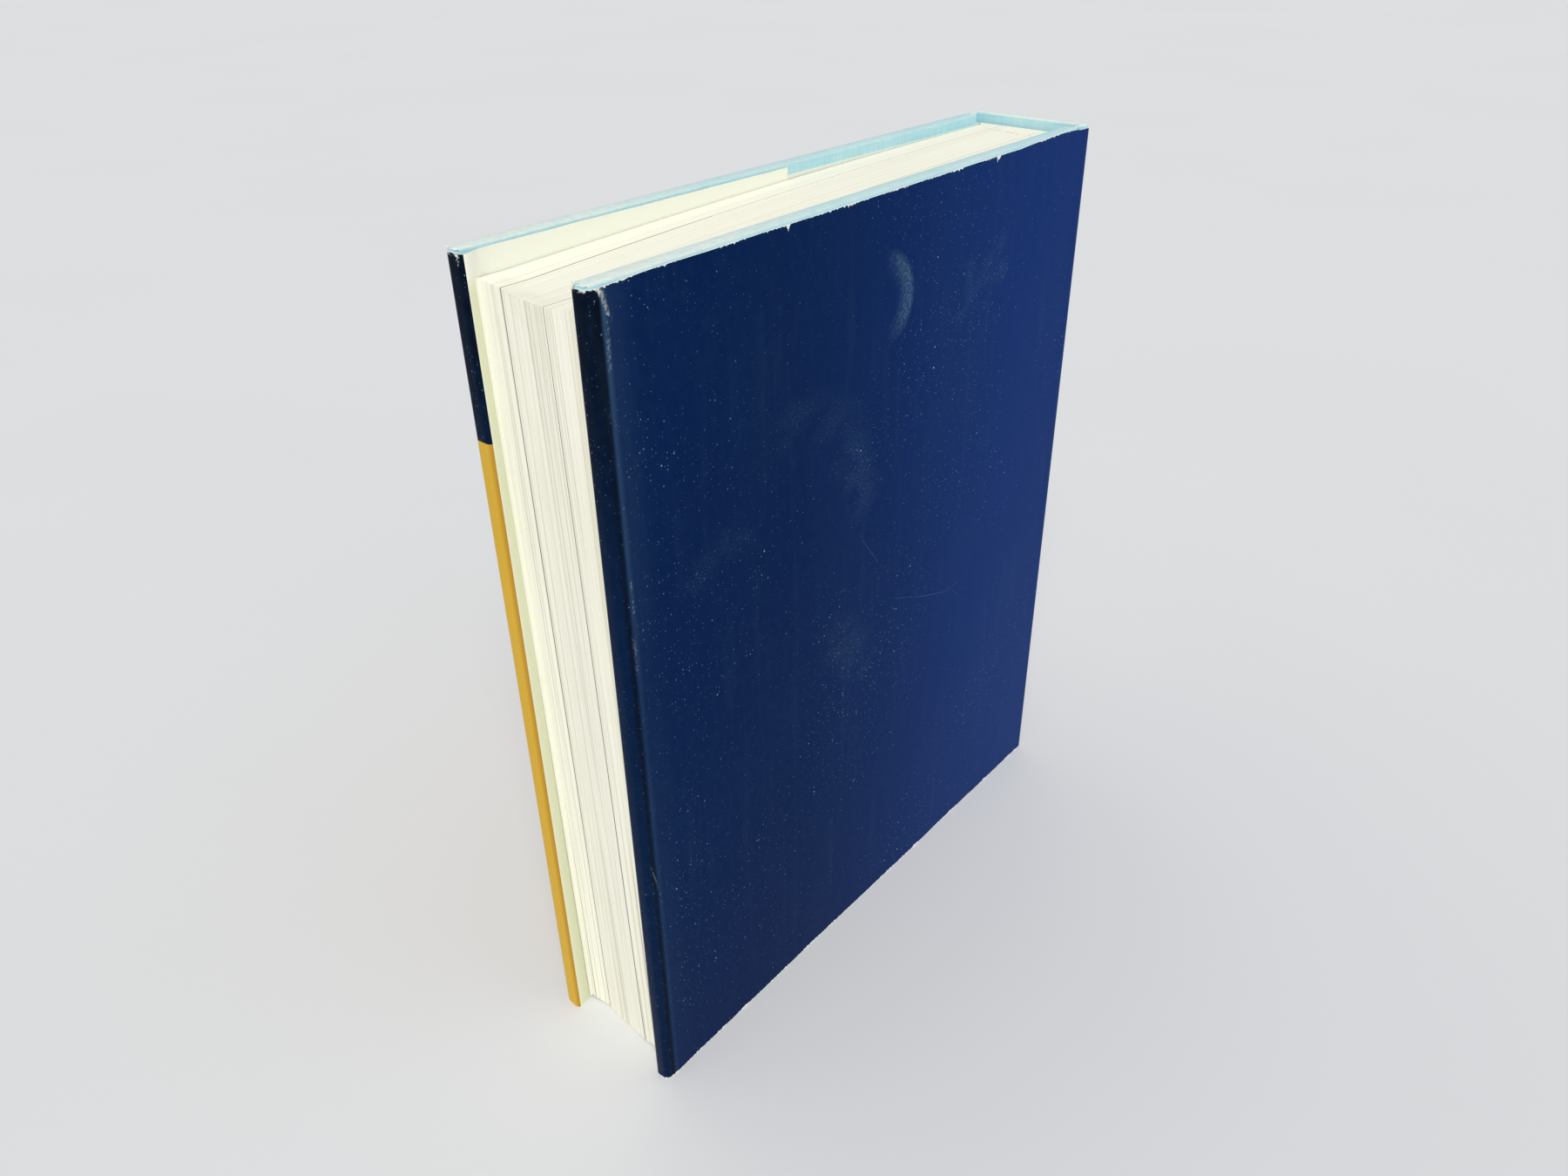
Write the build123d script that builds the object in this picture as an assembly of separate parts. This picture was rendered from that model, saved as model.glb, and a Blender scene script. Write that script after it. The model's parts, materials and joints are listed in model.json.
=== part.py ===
from build123d import *
import math
import os

# Hardcover book in a paper dust jacket, standing upright on the lower edges of its case.
# X runs from the fore-edge to the spine, Y from the back cover to the front cover, Z up.
# The origin is the middle of the footprint, on the ground.
#
# Everything is drawn with X = 0 on the outside of the spine and Y = 0 in the middle of the
# thickness, and moved to the origin at the end. A depth is measured inwards from the outside
# of a cover, and a reach is measured from the outside of the spine towards the fore-edge.

# The case
case_height = 240.0
case_width = 203.0
spine_width = 40.2
cover_spread = 0.85         # degrees by which each cover stands off square, the pages being swollen
board_thick = 3.4
board_rounding = 0.9        # on the two long edges of a board's fore-edge
board_reach = 8.0           # where a board starts, beyond the joint
spine_board_thick = 1.5
spine_board_rounding = 0.5
cloth_thick = 0.4
turn_in = 15.0              # how far the cloth is folded over onto the inside
groove_depth = 1.2          # how far the cloth is pressed into the joint

# The endpapers and the gauze under them
endpaper_thick = 0.3
paste_margin = 3.0          # how much turned-in cloth shows round a pastedown
gauze_thick = 0.4
gauze_flange = 25.0         # how far the gauze runs onto a board

# The jacket
jacket_thick = 0.3
jacket_short = 0.8          # how much lower the jacket is cut than the case
flap_length = 105.0

# The pages
head_square = 3.0           # at the spine, between the pages and the end of the case
tail_square = 4.8
fore_square = 6.6           # at the tail, between the pages and the fore-edge of the covers
floor_clear = 0.25          # what is left under the drooped corner of the pages
fore_bulge = 0.8            # how far the fore-edge swells in the middle
sections = 14
fold_bulge = 0.45           # how far each folded section stands out at the spine
shoulder_rise = 1.9         # how far the backed shoulder stands out from the flat side
shoulder_ledge = 0.85       # width of its top, beyond the folded sections

# Clearances
cover_gap = 0.3             # between a closed cover and the pages
split_gap = 0.3             # between the sheets of a cover and of the spine, at the hinge line
hinge_gap = 0.3             # between a cover folded right back and the spine
spine_hollow = 0.3          # between the pages' gauze and the case
shoulder_gap = 0.6          # between the foot of the shoulder and the edge of a board

# Depths of the layers of a cover, from the outside inwards
cloth_depth = jacket_thick
board_depth = cloth_depth + cloth_thick
turn_depth = board_depth + board_thick
paste_depth = turn_depth + max(cloth_thick, gauze_thick)
flap_depth = paste_depth + endpaper_thick
cover_depth = flap_depth + jacket_thick
flyleaf_depth = cover_depth + cover_gap
page_depth = flyleaf_depth + endpaper_thick

# Reaches of the layers of the spine
spine_inside = board_depth + spine_board_thick
gauze_reach = spine_inside + cloth_thick + spine_hollow
page_reach = gauze_reach + gauze_thick

# The hinge line runs down the middle of the joint, just outside the jacket
half_spine = spine_width / 2
hinge_reach = (spine_inside + board_reach) / 2
hinge_depth = -hinge_gap / 2
split_near = hinge_reach - split_gap / 2
split_far = hinge_reach + split_gap / 2

# The backed shoulder of the pages lies in the joint, against the edge of the board
shoulder_depth = page_depth - shoulder_rise
shoulder_start = page_reach + fold_bulge + shoulder_ledge
shoulder_end = board_reach - shoulder_gap

# The pages hang down from the sewn folds until their lower corner is nearly on the ground
page_top = case_height - head_square
jacket_height = case_height - jacket_short
fore_reach = case_width - fore_square
droop = math.degrees(math.asin((tail_square - floor_clear) / (fore_reach - page_reach)))


def at(reach, depth):
    """A point on the front half of the plan."""
    return (-reach, half_spine - depth)


def slab(far, near, outer, inner, rounding=0.0):
    """The plan of a flat layer on the front half, with its far corners rounded if asked."""
    middle = Pos(-(far + near) / 2, half_spine - (outer + inner) / 2)
    face = middle * Rectangle(far - near, inner - outer)
    if rounding > 0:
        face = fillet(face.vertices().group_by(Axis.X)[0], rounding)
    return face


def band(outside, inside, depth, rounding=0.0):
    """The plan of a layer right across the spine, with its outer corners rounded if asked."""
    middle = Pos(-(outside + inside) / 2, 0)
    face = middle * Rectangle(inside - outside, 2 * (half_spine - depth))
    if rounding > 0:
        face = fillet(face.vertices().group_by(Axis.X)[-1], rounding)
    return face


def prism(plan, low, high):
    """A plan drawn up from one height to another."""
    return extrude(Pos(0, 0, low) * plan, high - low)


def at_both_ends(plan, length):
    """A plan drawn over a length at the tail and the same length at the head of the case."""
    return prism(plan, 0, length) + prism(plan, case_height - length, case_height)


def spread(shape):
    """Turn a shape of the front cover about the hinge line, out to where it stands at rest."""
    line = Pos(*at(hinge_reach, hinge_depth), 0)
    return line * Rot(0, 0, -cover_spread) * line.inverse() * shape


def joint_cloth(thickness):
    """The plan of the cloth pressed into the joint, from the board to the spine board."""
    start, end = board_reach, spine_inside
    bottom = cloth_depth + groove_depth
    outer = ThreePointArc(at(start, cloth_depth), at(hinge_reach, bottom), at(end, cloth_depth))
    inner = Pos(0, -thickness) * outer
    return make_face([outer, Line(outer @ 1, inner @ 1), inner, Line(inner @ 0, outer @ 0)])


def board():
    """A cover board, rounded at the fore-edge, cut to leave the cloth its thickness."""
    plan = slab(case_width - board_depth, board_reach, board_depth, turn_depth, board_rounding)
    return prism(plan, cloth_thick, case_height - cloth_thick)


def board_window(inset=0.0):
    """What the turn-ins and the gauze leave open of the inside of a board: reaches and heights."""
    far = case_width - board_depth - turn_in - inset
    near = board_reach + gauze_flange + inset
    return far, near, turn_in + inset, case_height - turn_in - inset


def cover_cloth():
    """Cloth over the outside of a board, turned in at head, tail and fore-edge."""
    rounding = board_rounding + cloth_thick
    inside = turn_depth + cloth_thick
    wrap = slab(case_width - cloth_depth, board_reach, cloth_depth, inside, rounding)
    far = case_width - board_depth - turn_in
    bare = prism(slab(far, board_reach, turn_depth, inside), turn_in, case_height - turn_in)
    cover_side = slab(board_reach, split_far, 0, page_depth)
    lip = prism(joint_cloth(cloth_thick) & cover_side, 0, case_height)
    lip += at_both_ends(joint_cloth(2 * cloth_thick) & cover_side, turn_in)
    return prism(wrap, 0, case_height) - board() - bare + lip


def cover_gauze():
    """The flange of the gauze, glued to the inside of a board between its turn-ins."""
    plan = slab(board_reach + gauze_flange, board_reach, turn_depth, turn_depth + gauze_thick)
    return prism(plan, turn_in, case_height - turn_in)


def pastedown():
    """Endpaper over the inside of a board, pressed down into the window in the turn-ins."""
    outline = slab(case_width - board_depth - paste_margin, board_reach, paste_depth, flap_depth)
    sheet = prism(outline, paste_margin, case_height - paste_margin)
    far, near, low, high = board_window()
    sheet += prism(slab(far, near, turn_depth, paste_depth), low, high)
    far, near, low, high = board_window(endpaper_thick)
    pressed = slab(far, near, turn_depth + endpaper_thick, flap_depth)
    return sheet - prism(pressed, low, high)


def jacket_cover():
    """The jacket over a cover, with its rounded fold at the fore-edge and its flap inside."""
    rounding = board_rounding + cloth_thick + jacket_thick
    outside = slab(case_width, split_far, 0, cover_depth, rounding)
    rounding -= jacket_thick
    inside = slab(case_width - jacket_thick, split_far, jacket_thick, flap_depth, rounding)
    past_flap = slab(case_width - flap_length, split_far, jacket_thick, cover_depth)
    return prism(outside - inside - past_flap, 0, jacket_height)


def spine_board():
    """The stiff strip in the spine of the case."""
    plan = band(board_depth, spine_inside, board_depth, spine_board_rounding)
    return prism(plan, cloth_thick, case_height - cloth_thick)


def spine_cloth():
    """Cloth round the spine board, turned in at head and tail, out to the two hinge lines."""
    rounding = spine_board_rounding + cloth_thick
    filled = band(cloth_depth, spine_inside, cloth_depth, rounding)
    wall = filled - band(board_depth, spine_inside, board_depth, spine_board_rounding)
    turned = band(board_depth, spine_inside + cloth_thick, board_depth, spine_board_rounding)
    spine_side = slab(split_near, 0, 0, page_depth)
    lip = joint_cloth(cloth_thick) & spine_side
    thick_lip = joint_cloth(2 * cloth_thick) & spine_side
    sheet = prism(wall, 0, case_height)
    sheet += at_both_ends(turned, turn_in)
    for side in (lip, mirror(lip, about=Plane.XZ)):
        sheet += prism(side, 0, case_height)
    for side in (thick_lip, mirror(thick_lip, about=Plane.XZ)):
        sheet += at_both_ends(side, turn_in)
    return sheet - spine_board()


def jacket_spine():
    """The jacket round the spine, out to the two hinge lines."""
    rounding = spine_board_rounding + cloth_thick + jacket_thick
    outside = band(0, split_near, 0, rounding)
    inside = band(jacket_thick, split_near, jacket_thick, rounding - jacket_thick)
    return prism(outside - inside, 0, jacket_height)


def trimmed():
    """The space inside the three cut edges of the pages, drooped, with the fore-edge swollen."""
    edge = spread(Pos(*at(fore_reach, page_depth), 0)).position.Y
    fore = ThreePointArc((-fore_reach, edge), (-fore_reach - fore_bulge, 0), (-fore_reach, -edge))
    past = case_width - fore_reach
    back = Polyline((-fore_reach, -edge), (-fore_reach, -edge - past), (past, -edge - past),
                    (past, edge + past), (-fore_reach, edge + past), (-fore_reach, edge))
    sewn = Pos(-page_reach, 0, tail_square)
    block = prism(make_face([fore, *back.edges()]), tail_square, page_top)
    return sewn * Rot(0, -droop, 0) * sewn.inverse() * block


def text_block():
    """The sewn pages: folded sections and backed shoulders at the spine, three trimmed edges."""
    fold_line = -page_reach - fold_bulge
    half_back = half_spine - shoulder_depth
    step = 2 * half_back / sections
    folds = []
    for index in range(sections):
        start = half_back - index * step
        crown = (fold_line + fold_bulge, start - step / 2)
        folds.append(ThreePointArc((fold_line, start), crown, (fold_line, start - step)))
    side = spread(Line(at(case_width, page_depth), at(shoulder_end, page_depth)))
    top = Vector(-shoulder_start, half_back)
    foot = side @ 1
    fall = TangentArc(foot, top, tangent=side % 1)
    ledge = Line(top, (fold_line, half_back))
    front = [side, fall, ledge]
    back = [mirror(edge, about=Plane.XZ) for edge in front]
    far = Line(side @ 0, back[0] @ 0)
    plan = make_face([far, *front, *folds, *back])
    return prism(plan, 0, case_height) & trimmed()


def spine_gauze(pages):
    """Gauze glued over the sewn folds, its glue filling the valleys between them."""
    width = half_spine - shoulder_depth
    plan = band(gauze_reach, page_reach + fold_bulge, half_spine - width)
    return prism(plan, turn_in, case_height - turn_in) - pages


def flyleaf():
    """The free half of an endpaper, against the pages and trimmed with them."""
    plan = slab(case_width, shoulder_end, flyleaf_depth, page_depth)
    return spread(prism(plan, 0, case_height)) & trimmed()


pages = text_block()
parts = {
    "text_block": pages,
    "spine_gauze": spine_gauze(pages),
    "spine_board": spine_board(),
    "spine_cloth": spine_cloth(),
    "jacket_spine": jacket_spine(),
    "front_flyleaf": flyleaf(),
}
cover = {
    "board": board(),
    "cloth": cover_cloth(),
    "gauze": cover_gauze(),
    "pastedown": pastedown(),
}
for name, shape in cover.items():
    parts["front_" + name] = spread(shape)
parts["jacket_front"] = spread(jacket_cover())
for name in ["front_flyleaf", *("front_" + name for name in cover), "jacket_front"]:
    parts[name.replace("front", "back")] = mirror(parts[name], about=Plane.XZ)

box = Compound(children=[shape.solid() for shape in parts.values()]).bounding_box()
to_origin = Pos(-box.center().X, -box.center().Y, -box.min.Z)
os.makedirs("parts", exist_ok=True)
for name, shape in parts.items():
    export_step(to_origin * shape.solid(), f"parts/{name}.step")

hinge = to_origin.position + Vector(*at(hinge_reach, hinge_depth))
print(f"overall size {box.size.X:.2f} x {box.size.Y:.2f} x {box.size.Z:.2f}")
print(f"hinge lines at x {hinge.X:.4f}, y plus and minus {hinge.Y:.4f}")
print(f"droop of the pages {droop:.3f} degrees")
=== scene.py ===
"""A hardcover book in a glossy paper jacket, standing upright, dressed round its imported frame."""

import json
import logging
import math
from collections.abc import Callable, Iterator
from contextlib import contextmanager
from dataclasses import dataclass, field
from enum import Enum
from functools import reduce

import bmesh
import bpy
from mathutils import Euler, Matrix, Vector


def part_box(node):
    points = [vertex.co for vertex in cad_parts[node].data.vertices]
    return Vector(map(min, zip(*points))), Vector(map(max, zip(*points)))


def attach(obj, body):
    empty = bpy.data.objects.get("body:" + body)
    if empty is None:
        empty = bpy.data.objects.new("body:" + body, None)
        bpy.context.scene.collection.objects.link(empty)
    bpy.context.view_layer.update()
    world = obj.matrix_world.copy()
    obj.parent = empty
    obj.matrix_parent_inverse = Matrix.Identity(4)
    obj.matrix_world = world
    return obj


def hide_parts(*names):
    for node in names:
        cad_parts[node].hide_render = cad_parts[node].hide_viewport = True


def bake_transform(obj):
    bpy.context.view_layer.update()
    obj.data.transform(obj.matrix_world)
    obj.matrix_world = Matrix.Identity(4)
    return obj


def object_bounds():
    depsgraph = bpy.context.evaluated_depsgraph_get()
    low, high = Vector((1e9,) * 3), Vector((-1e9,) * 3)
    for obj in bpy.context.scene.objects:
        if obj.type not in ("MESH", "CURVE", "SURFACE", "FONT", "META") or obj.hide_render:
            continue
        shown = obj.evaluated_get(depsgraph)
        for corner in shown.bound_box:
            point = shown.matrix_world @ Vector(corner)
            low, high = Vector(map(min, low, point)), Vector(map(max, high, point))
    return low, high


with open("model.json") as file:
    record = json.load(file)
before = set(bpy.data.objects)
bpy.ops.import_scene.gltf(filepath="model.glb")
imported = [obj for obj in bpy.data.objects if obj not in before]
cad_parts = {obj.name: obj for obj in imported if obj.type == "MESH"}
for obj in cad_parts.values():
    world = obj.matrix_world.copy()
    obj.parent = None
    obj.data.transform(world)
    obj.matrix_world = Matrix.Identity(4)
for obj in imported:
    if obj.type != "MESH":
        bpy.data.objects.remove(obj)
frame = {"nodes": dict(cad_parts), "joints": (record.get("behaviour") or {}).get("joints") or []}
cad_low, cad_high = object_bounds()

log = logging.getLogger("book")
MM = 0.001
TINY = 0.02 * MM
STRAIGHT = 0.9999
Point = tuple[float, float]
Triple = tuple[float, float, float]
RGBA = tuple[float, float, float, float]
Piece = bpy.types.Object
Socket = bpy.types.NodeSocket
Amount = Socket | float


class Side(Enum):
    """The two halves of the book, with the sign of their Y."""

    FRONT = 1
    BACK = -1

    @property
    def label(self) -> str:
        """The side's name in piece and body names."""
        return self.name.lower()

    @property
    def body(self) -> str:
        """The CAD body of this side's cover."""
        return self.label + "_cover"


class Pick(Enum):
    """What edit mode selects."""

    VERTS = "VERT"
    EDGES = "EDGE"
    FACES = "FACE"


class Falloff(Enum):
    """How a pull fades away from the verts that are pulled."""

    SMOOTH = "SMOOTH"
    SHARP = "SHARP"
    LINEAR = "LINEAR"


@dataclass(frozen=True)
class Plan:
    """Where the layers of the closed book lie in plan.

    A reach is measured from the outside of the spine towards the fore-edge, and a depth from the
    outside of a cover inwards. Both are in metres, as everything here is.
    """

    spine_x: float
    half_spine: float
    hinge_x: float
    hinge_y: float
    height: float
    case_width: float = 203 * MM
    spread: float = math.radians(0.85)
    board_reach: float = 8 * MM
    spine_inside: float = 2.2 * MM
    cloth_depth: float = 0.3 * MM
    board_depth: float = 0.7 * MM
    paste_depth: float = 4.5 * MM
    flap_depth: float = 4.8 * MM
    cover_depth: float = 5.1 * MM
    flyleaf_depth: float = 5.4 * MM

    @classmethod
    def read(cls) -> "Plan":
        """Take the spine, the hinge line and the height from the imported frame.

        Returns:
            The plan of this book.
        """
        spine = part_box("jacket_spine")[1]
        hinge = frame["joints"][0]["pos_m"]
        return cls(spine.x, spine.y, hinge[0], abs(hinge[1]), cad_high.z - cad_low.z)

    @property
    def hinge_reach(self) -> float:
        """The reach of the hinge line."""
        return self.spine_x - self.hinge_x

    def at(self, reach: float, depth: float, side: Side) -> Point:
        """A point of one half in plan, before its cover is spread.

        Args:
            reach: distance from the outside of the spine.
            depth: distance from the outside of the cover.
            side: the half that it is on.

        Returns:
            Its X and Y in the frame.
        """
        return self.spine_x - reach, side.value * (self.half_spine - depth)

    def reach_of(self, vert: bmesh.types.BMVert | bpy.types.MeshVertex) -> float:
        """The reach of a vert."""
        return self.spine_x - vert.co.x


plan = Plan.read()


def single_out(piece: Piece, *others: Piece) -> None:
    """Select a piece, with others if given, and nothing else, and make the piece active.

    Args:
        piece: the object to make active.
        others: further objects to select.
    """
    bpy.ops.object.select_all(action="DESELECT")
    for each in (piece, *others):
        each.select_set(True)
    bpy.context.view_layer.objects.active = piece


@contextmanager
def editing(piece: Piece, pick: Pick = Pick.VERTS) -> Iterator[None]:
    """Edit mode on one piece alone, with nothing selected at the start.

    Args:
        piece: the mesh object to edit.
        pick: what the selection is made of.
    """
    single_out(piece)
    bpy.ops.object.mode_set(mode="EDIT")
    bpy.ops.mesh.select_mode(type=pick.value)
    bpy.ops.mesh.select_all(action="DESELECT")
    yield
    bpy.ops.object.mode_set(mode="OBJECT")


def select(pick: Pick, test: Callable[..., bool]) -> None:
    """Select what passes a test on the shown mesh in edit mode, and nothing else.

    Args:
        pick: verts, edges or faces.
        test: takes a bmesh element and says whether it is wanted.
    """
    bpy.ops.mesh.select_mode(type=pick.value)
    bpy.ops.mesh.select_all(action="DESELECT")
    mesh = bpy.context.edit_object.data
    edited = bmesh.from_edit_mesh(mesh)
    found = {Pick.VERTS: edited.verts, Pick.EDGES: edited.edges, Pick.FACES: edited.faces}[pick]
    for element in [shown for shown in found if not shown.hide and test(shown)]:
        element.select_set(True)
    edited.select_flush_mode()
    bmesh.update_edit_mesh(mesh)


@contextmanager
def only(test: Callable[..., bool]) -> Iterator[None]:
    """Hide all other verts in edit mode while some are moved.

    Args:
        test: says of a vert whether it stays shown.
    """
    select(Pick.VERTS, test)
    bpy.ops.mesh.hide(unselected=True)
    yield
    bpy.ops.mesh.reveal(select=False)


def slice_at(place: Vector | Triple, normal: Vector | Triple) -> None:
    """Cut the mesh in edit mode right through along a plane."""
    bpy.ops.mesh.select_all(action="SELECT")
    bpy.ops.mesh.bisect(plane_co=place, plane_no=normal)


def recalculate() -> None:
    """Turn all faces in edit mode the same way."""
    bpy.ops.mesh.select_all(action="SELECT")
    bpy.ops.mesh.normals_make_consistent(inside=False)


def drag(by: Triple, falloff: Falloff, span: float) -> None:
    """Move the selection, and what is round it less and less.

    Args:
        by: how far the selection moves.
        falloff: how the pull fades.
        span: the distance at which it ends.
    """
    bpy.ops.transform.translate(
        value=by,
        use_proportional_edit=True,
        proportional_edit_falloff=falloff.value,
        proportional_size=span,
    )


def is_upright(edge: bmesh.types.BMEdge) -> bool:
    """Whether an edge runs straight up."""
    first, second = (vert.co for vert in edge.verts)
    return (first.xy - second.xy).length < TINY


def is_over(edge: bmesh.types.BMEdge, place: Vector) -> bool:
    """Whether the middle of an edge lies above or below a place."""
    middle = (edge.verts[0].co + edge.verts[1].co) / 2
    return (middle.xy - place.xy).length < TINY


def runs_along(edge: bmesh.types.BMEdge, axis: int) -> bool:
    """Whether an edge runs along an axis: 0 for X, 1 for Y, 2 for Z."""
    run = edge.verts[1].co - edge.verts[0].co
    return abs(run[axis]) > run.length * STRAIGHT


def between(known: list[Point] | tuple[Point, ...], place: float) -> float:
    """A value read off between known ones.

    Args:
        known: places in rising order, each with its value.
        place: where to read.

    Returns:
        The value there, in a straight line between its neighbours and held beyond the ends.
    """
    for (left, low), (right, high) in zip(known, known[1:]):
        if place < right:
            return low + (high - low) * max(0.0, (place - left) / (right - left))
    return known[-1][1]


def join(piece: Piece, others: list[Piece]) -> None:
    """Make other meshes part of a piece and weld the verts that meet.

    Args:
        piece: the mesh object that stays.
        others: those that become part of it.
    """
    single_out(piece, *others)
    bpy.ops.object.join()
    with editing(piece):
        bpy.ops.mesh.select_all(action="SELECT")
        bpy.ops.mesh.remove_doubles(threshold=TINY)


def face_outwards(sheet: Piece, side: Side, inside: bool = False) -> None:
    """Make a sheet's faces look out of the book on its outermost panel, or into it if asked.

    Args:
        sheet: the folded mesh.
        side: its half of the book.
        inside: whether they look into the book.
    """
    with editing(sheet, Pick.FACES):
        recalculate()
    outermost = max(sheet.data.polygons, key=lambda face: abs(face.normal.y) * abs(face.center.y))
    if (outermost.normal.y * side.value > 0) == inside:
        with editing(sheet, Pick.FACES):
            bpy.ops.mesh.select_all(action="SELECT")
            bpy.ops.mesh.flip_normals()


def settle(piece: Piece) -> Piece:
    """Put a piece's place, turn and size into its mesh, so that its object sits at the origin.

    Args:
        piece: the mesh object.

    Returns:
        The same piece.
    """
    single_out(piece)
    bpy.ops.object.transform_apply(location=True, rotation=True, scale=True)
    return piece


def finish_with(piece: Piece, kind: str, **settings: object) -> None:
    """Add a modifier to a piece and apply it.

    Args:
        piece: the mesh object.
        kind: the modifier's type.
        settings: its values by name.
    """
    single_out(piece)
    modifier = piece.modifiers.new(kind.lower(), kind)
    for name, value in settings.items():
        setattr(modifier, name, value)
    bpy.ops.object.modifier_apply(modifier=modifier.name)


def ripple(piece: Piece, group: str, size: float, strength: float, middle: float, **settings: object) -> None:
    """Displace a vertex group by soft noise.

    Args:
        piece: the mesh object.
        group: the vertex group.
        size: the size of the noise.
        strength: how far it moves the verts.
        middle: the noise that leaves them in place.
        settings: the modifier's other values by name.
    """
    clouds = bpy.data.textures.get(group) or bpy.data.textures.new(group, "CLOUDS")
    clouds.noise_scale = size
    clouds.noise_depth = 1
    settings.update(texture=clouds, texture_coords="LOCAL", vertex_group=group)
    finish_with(piece, "DISPLACE", strength=strength, mid_level=middle, **settings)


def smooth(piece: Piece, degrees: float = 32.0) -> None:
    """Shade a piece smooth except across edges sharper than an angle."""
    single_out(piece)
    bpy.ops.object.shade_smooth_by_angle(angle=math.radians(degrees))


def thicken(sheet: Piece, thick: float, **settings: object) -> None:
    """Give a sheet its thickness behind its faces, and shade it smooth.

    Args:
        sheet: the sheet, one wall thick.
        thick: its thickness.
        settings: further values of the modifier by name.
    """
    finish_with(sheet, "SOLIDIFY", thickness=thick, offset=-1.0, **settings)
    smooth(sheet)


def report(*pieces: Piece) -> None:
    """Log the pieces that are done."""
    for piece in pieces:
        log.info("%s: %d faces in %s", piece.name, len(piece.data.polygons), piece.data.materials[0].name)


@dataclass(frozen=True)
class Leg:
    """One straight run of a folded sheet's plan, or one round turn where it has a centre."""

    to: Point
    centre: Point | None = None
    cuts: int = 1


@dataclass
class Sheet:
    """A sheet folded along upright lines, drawn from its free end towards the middle of the spine."""

    name: str
    side: Side
    low: float
    high: float
    start: Point
    legs: list[Leg]
    line: list[Vector] = field(default_factory=list)

    def spot(self, place: Point) -> Vector:
        """A reach and a depth as a point on the ground."""
        return Vector((*plan.at(*place, self.side), 0))

    def turn(self, last: Vector, leg: Leg) -> float:
        """The angle of a round turn from the last point to the end of its leg."""
        centre = self.spot(leg.centre)
        return (last - centre).xy.angle_signed((self.spot(leg.to) - centre).xy)

    def fold(self) -> Piece:
        """Fold the sheet: a flat panel first, then each further run extruded and each turn spun.

        Returns:
            The sheet as one wall with no thickness yet, its faces towards the outside.
        """
        first, second = self.spot(self.start), self.spot(self.legs[0].to)
        bpy.ops.object.select_all(action="DESELECT")
        bpy.ops.mesh.primitive_plane_add(size=1)
        sheet = bpy.context.object
        sheet.name = sheet.data.name = self.name
        run = second - first
        sheet.rotation_euler = (math.pi / 2, 0, math.atan2(run.y, run.x))
        sheet.scale = (run.length, self.high - self.low, 1)
        sheet.location = (first + second) / 2 + Vector((0, 0, (self.low + self.high) / 2))
        settle(sheet)
        self.line = [first, second]
        with editing(sheet, Pick.EDGES):
            select(Pick.EDGES, lambda edge: is_upright(edge) and is_over(edge, second))
            for leg in self.legs[1:]:
                self.extend(leg)
        with editing(sheet, Pick.EDGES):
            self.cut_runs()
        self.line = self.stations()
        with editing(sheet, Pick.FACES):
            recalculate()
        return sheet

    def extend(self, leg: Leg) -> None:
        """Draw the selected end of the sheet on along one leg.

        Args:
            leg: the run or turn.
        """
        last, target = self.line[-1], self.spot(leg.to)
        if leg.centre is None:
            bpy.ops.mesh.extrude_region_move(TRANSFORM_OT_translate={"value": target - last})
        else:
            centre = self.spot(leg.centre)
            bpy.ops.mesh.spin(steps=leg.cuts, angle=self.turn(last, leg), center=centre, axis=(0, 0, 1))
        self.line.append(target)

    def cut_runs(self) -> None:
        """Divide each straight run by its number of cuts."""
        ends = [self.start, *(leg.to for leg in self.legs)]
        for before, leg in zip(ends, self.legs):
            if leg.centre is None and leg.cuts > 1:
                middle = (self.spot(before) + self.spot(leg.to)) / 2
                select(Pick.EDGES, lambda edge: not is_upright(edge) and is_over(edge, middle))
                bpy.ops.mesh.subdivide(number_cuts=leg.cuts - 1)

    def stations(self) -> list[Vector]:
        """The plan line of the sheet from its free end to the spine, with its turns as arcs.

        Returns:
            Its points.
        """
        points = [self.spot(self.start)]
        for leg in self.legs:
            if leg.centre is not None:
                centre, last = self.spot(leg.centre), points[-1]
                turn = self.turn(last, leg)
                for step in range(1, leg.cuts):
                    arm = (last - centre).xy
                    arm.rotate(Euler((0, 0, -turn * step / leg.cuts)).to_matrix().to_2x2())
                    points.append(centre + Vector((*arm, 0)))
            points.append(self.spot(leg.to))
        return points

    def measure(self, place: Vector) -> Point:
        """Find the part of the sheet's plan nearest a place.

        Args:
            place: any point, of which only X and Y count.

        Returns:
            The length along the sheet from the middle of the spine to there, and how far off it is.
        """
        best, found, passed = math.inf, 0.0, 0.0
        for near, far in zip(self.line[::-1], self.line[-2::-1]):
            run = far - near
            share = min(1.0, max(0.0, (place.xy - near.xy).dot(run.xy) / run.length_squared))
            gap = (near.xy + run.xy * share - place.xy).length
            if gap < best:
                best, found = gap, passed + share * run.length
            passed += run.length
        return found, best

    def lay_flat(self, sheet: Piece) -> None:
        """Give the sheet its own flat map: length from the middle of the spine, and height.

        Args:
            sheet: the folded mesh.
        """
        layer = sheet.data.uv_layers.get("sheet") or sheet.data.uv_layers.new(name="sheet")
        measured: dict[Point, Point] = {}
        for loop in sheet.data.loops:
            place = sheet.data.vertices[loop.vertex_index].co
            key = (round(place.x, 7), round(place.y, 7))
            if key not in measured:
                measured[key] = self.measure(place)
            length, gap = measured[key]
            layer.data[loop.index].uv = (length, place.z + gap)


def cut_levels(sheet: Piece, levels: list[float]) -> None:
    """Cut a standing sheet right through at some heights.

    Args:
        sheet: the folded mesh.
        levels: the heights.
    """
    with editing(sheet):
        for level in levels:
            slice_at((0, 0, level), (0, 0, 1))


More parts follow.
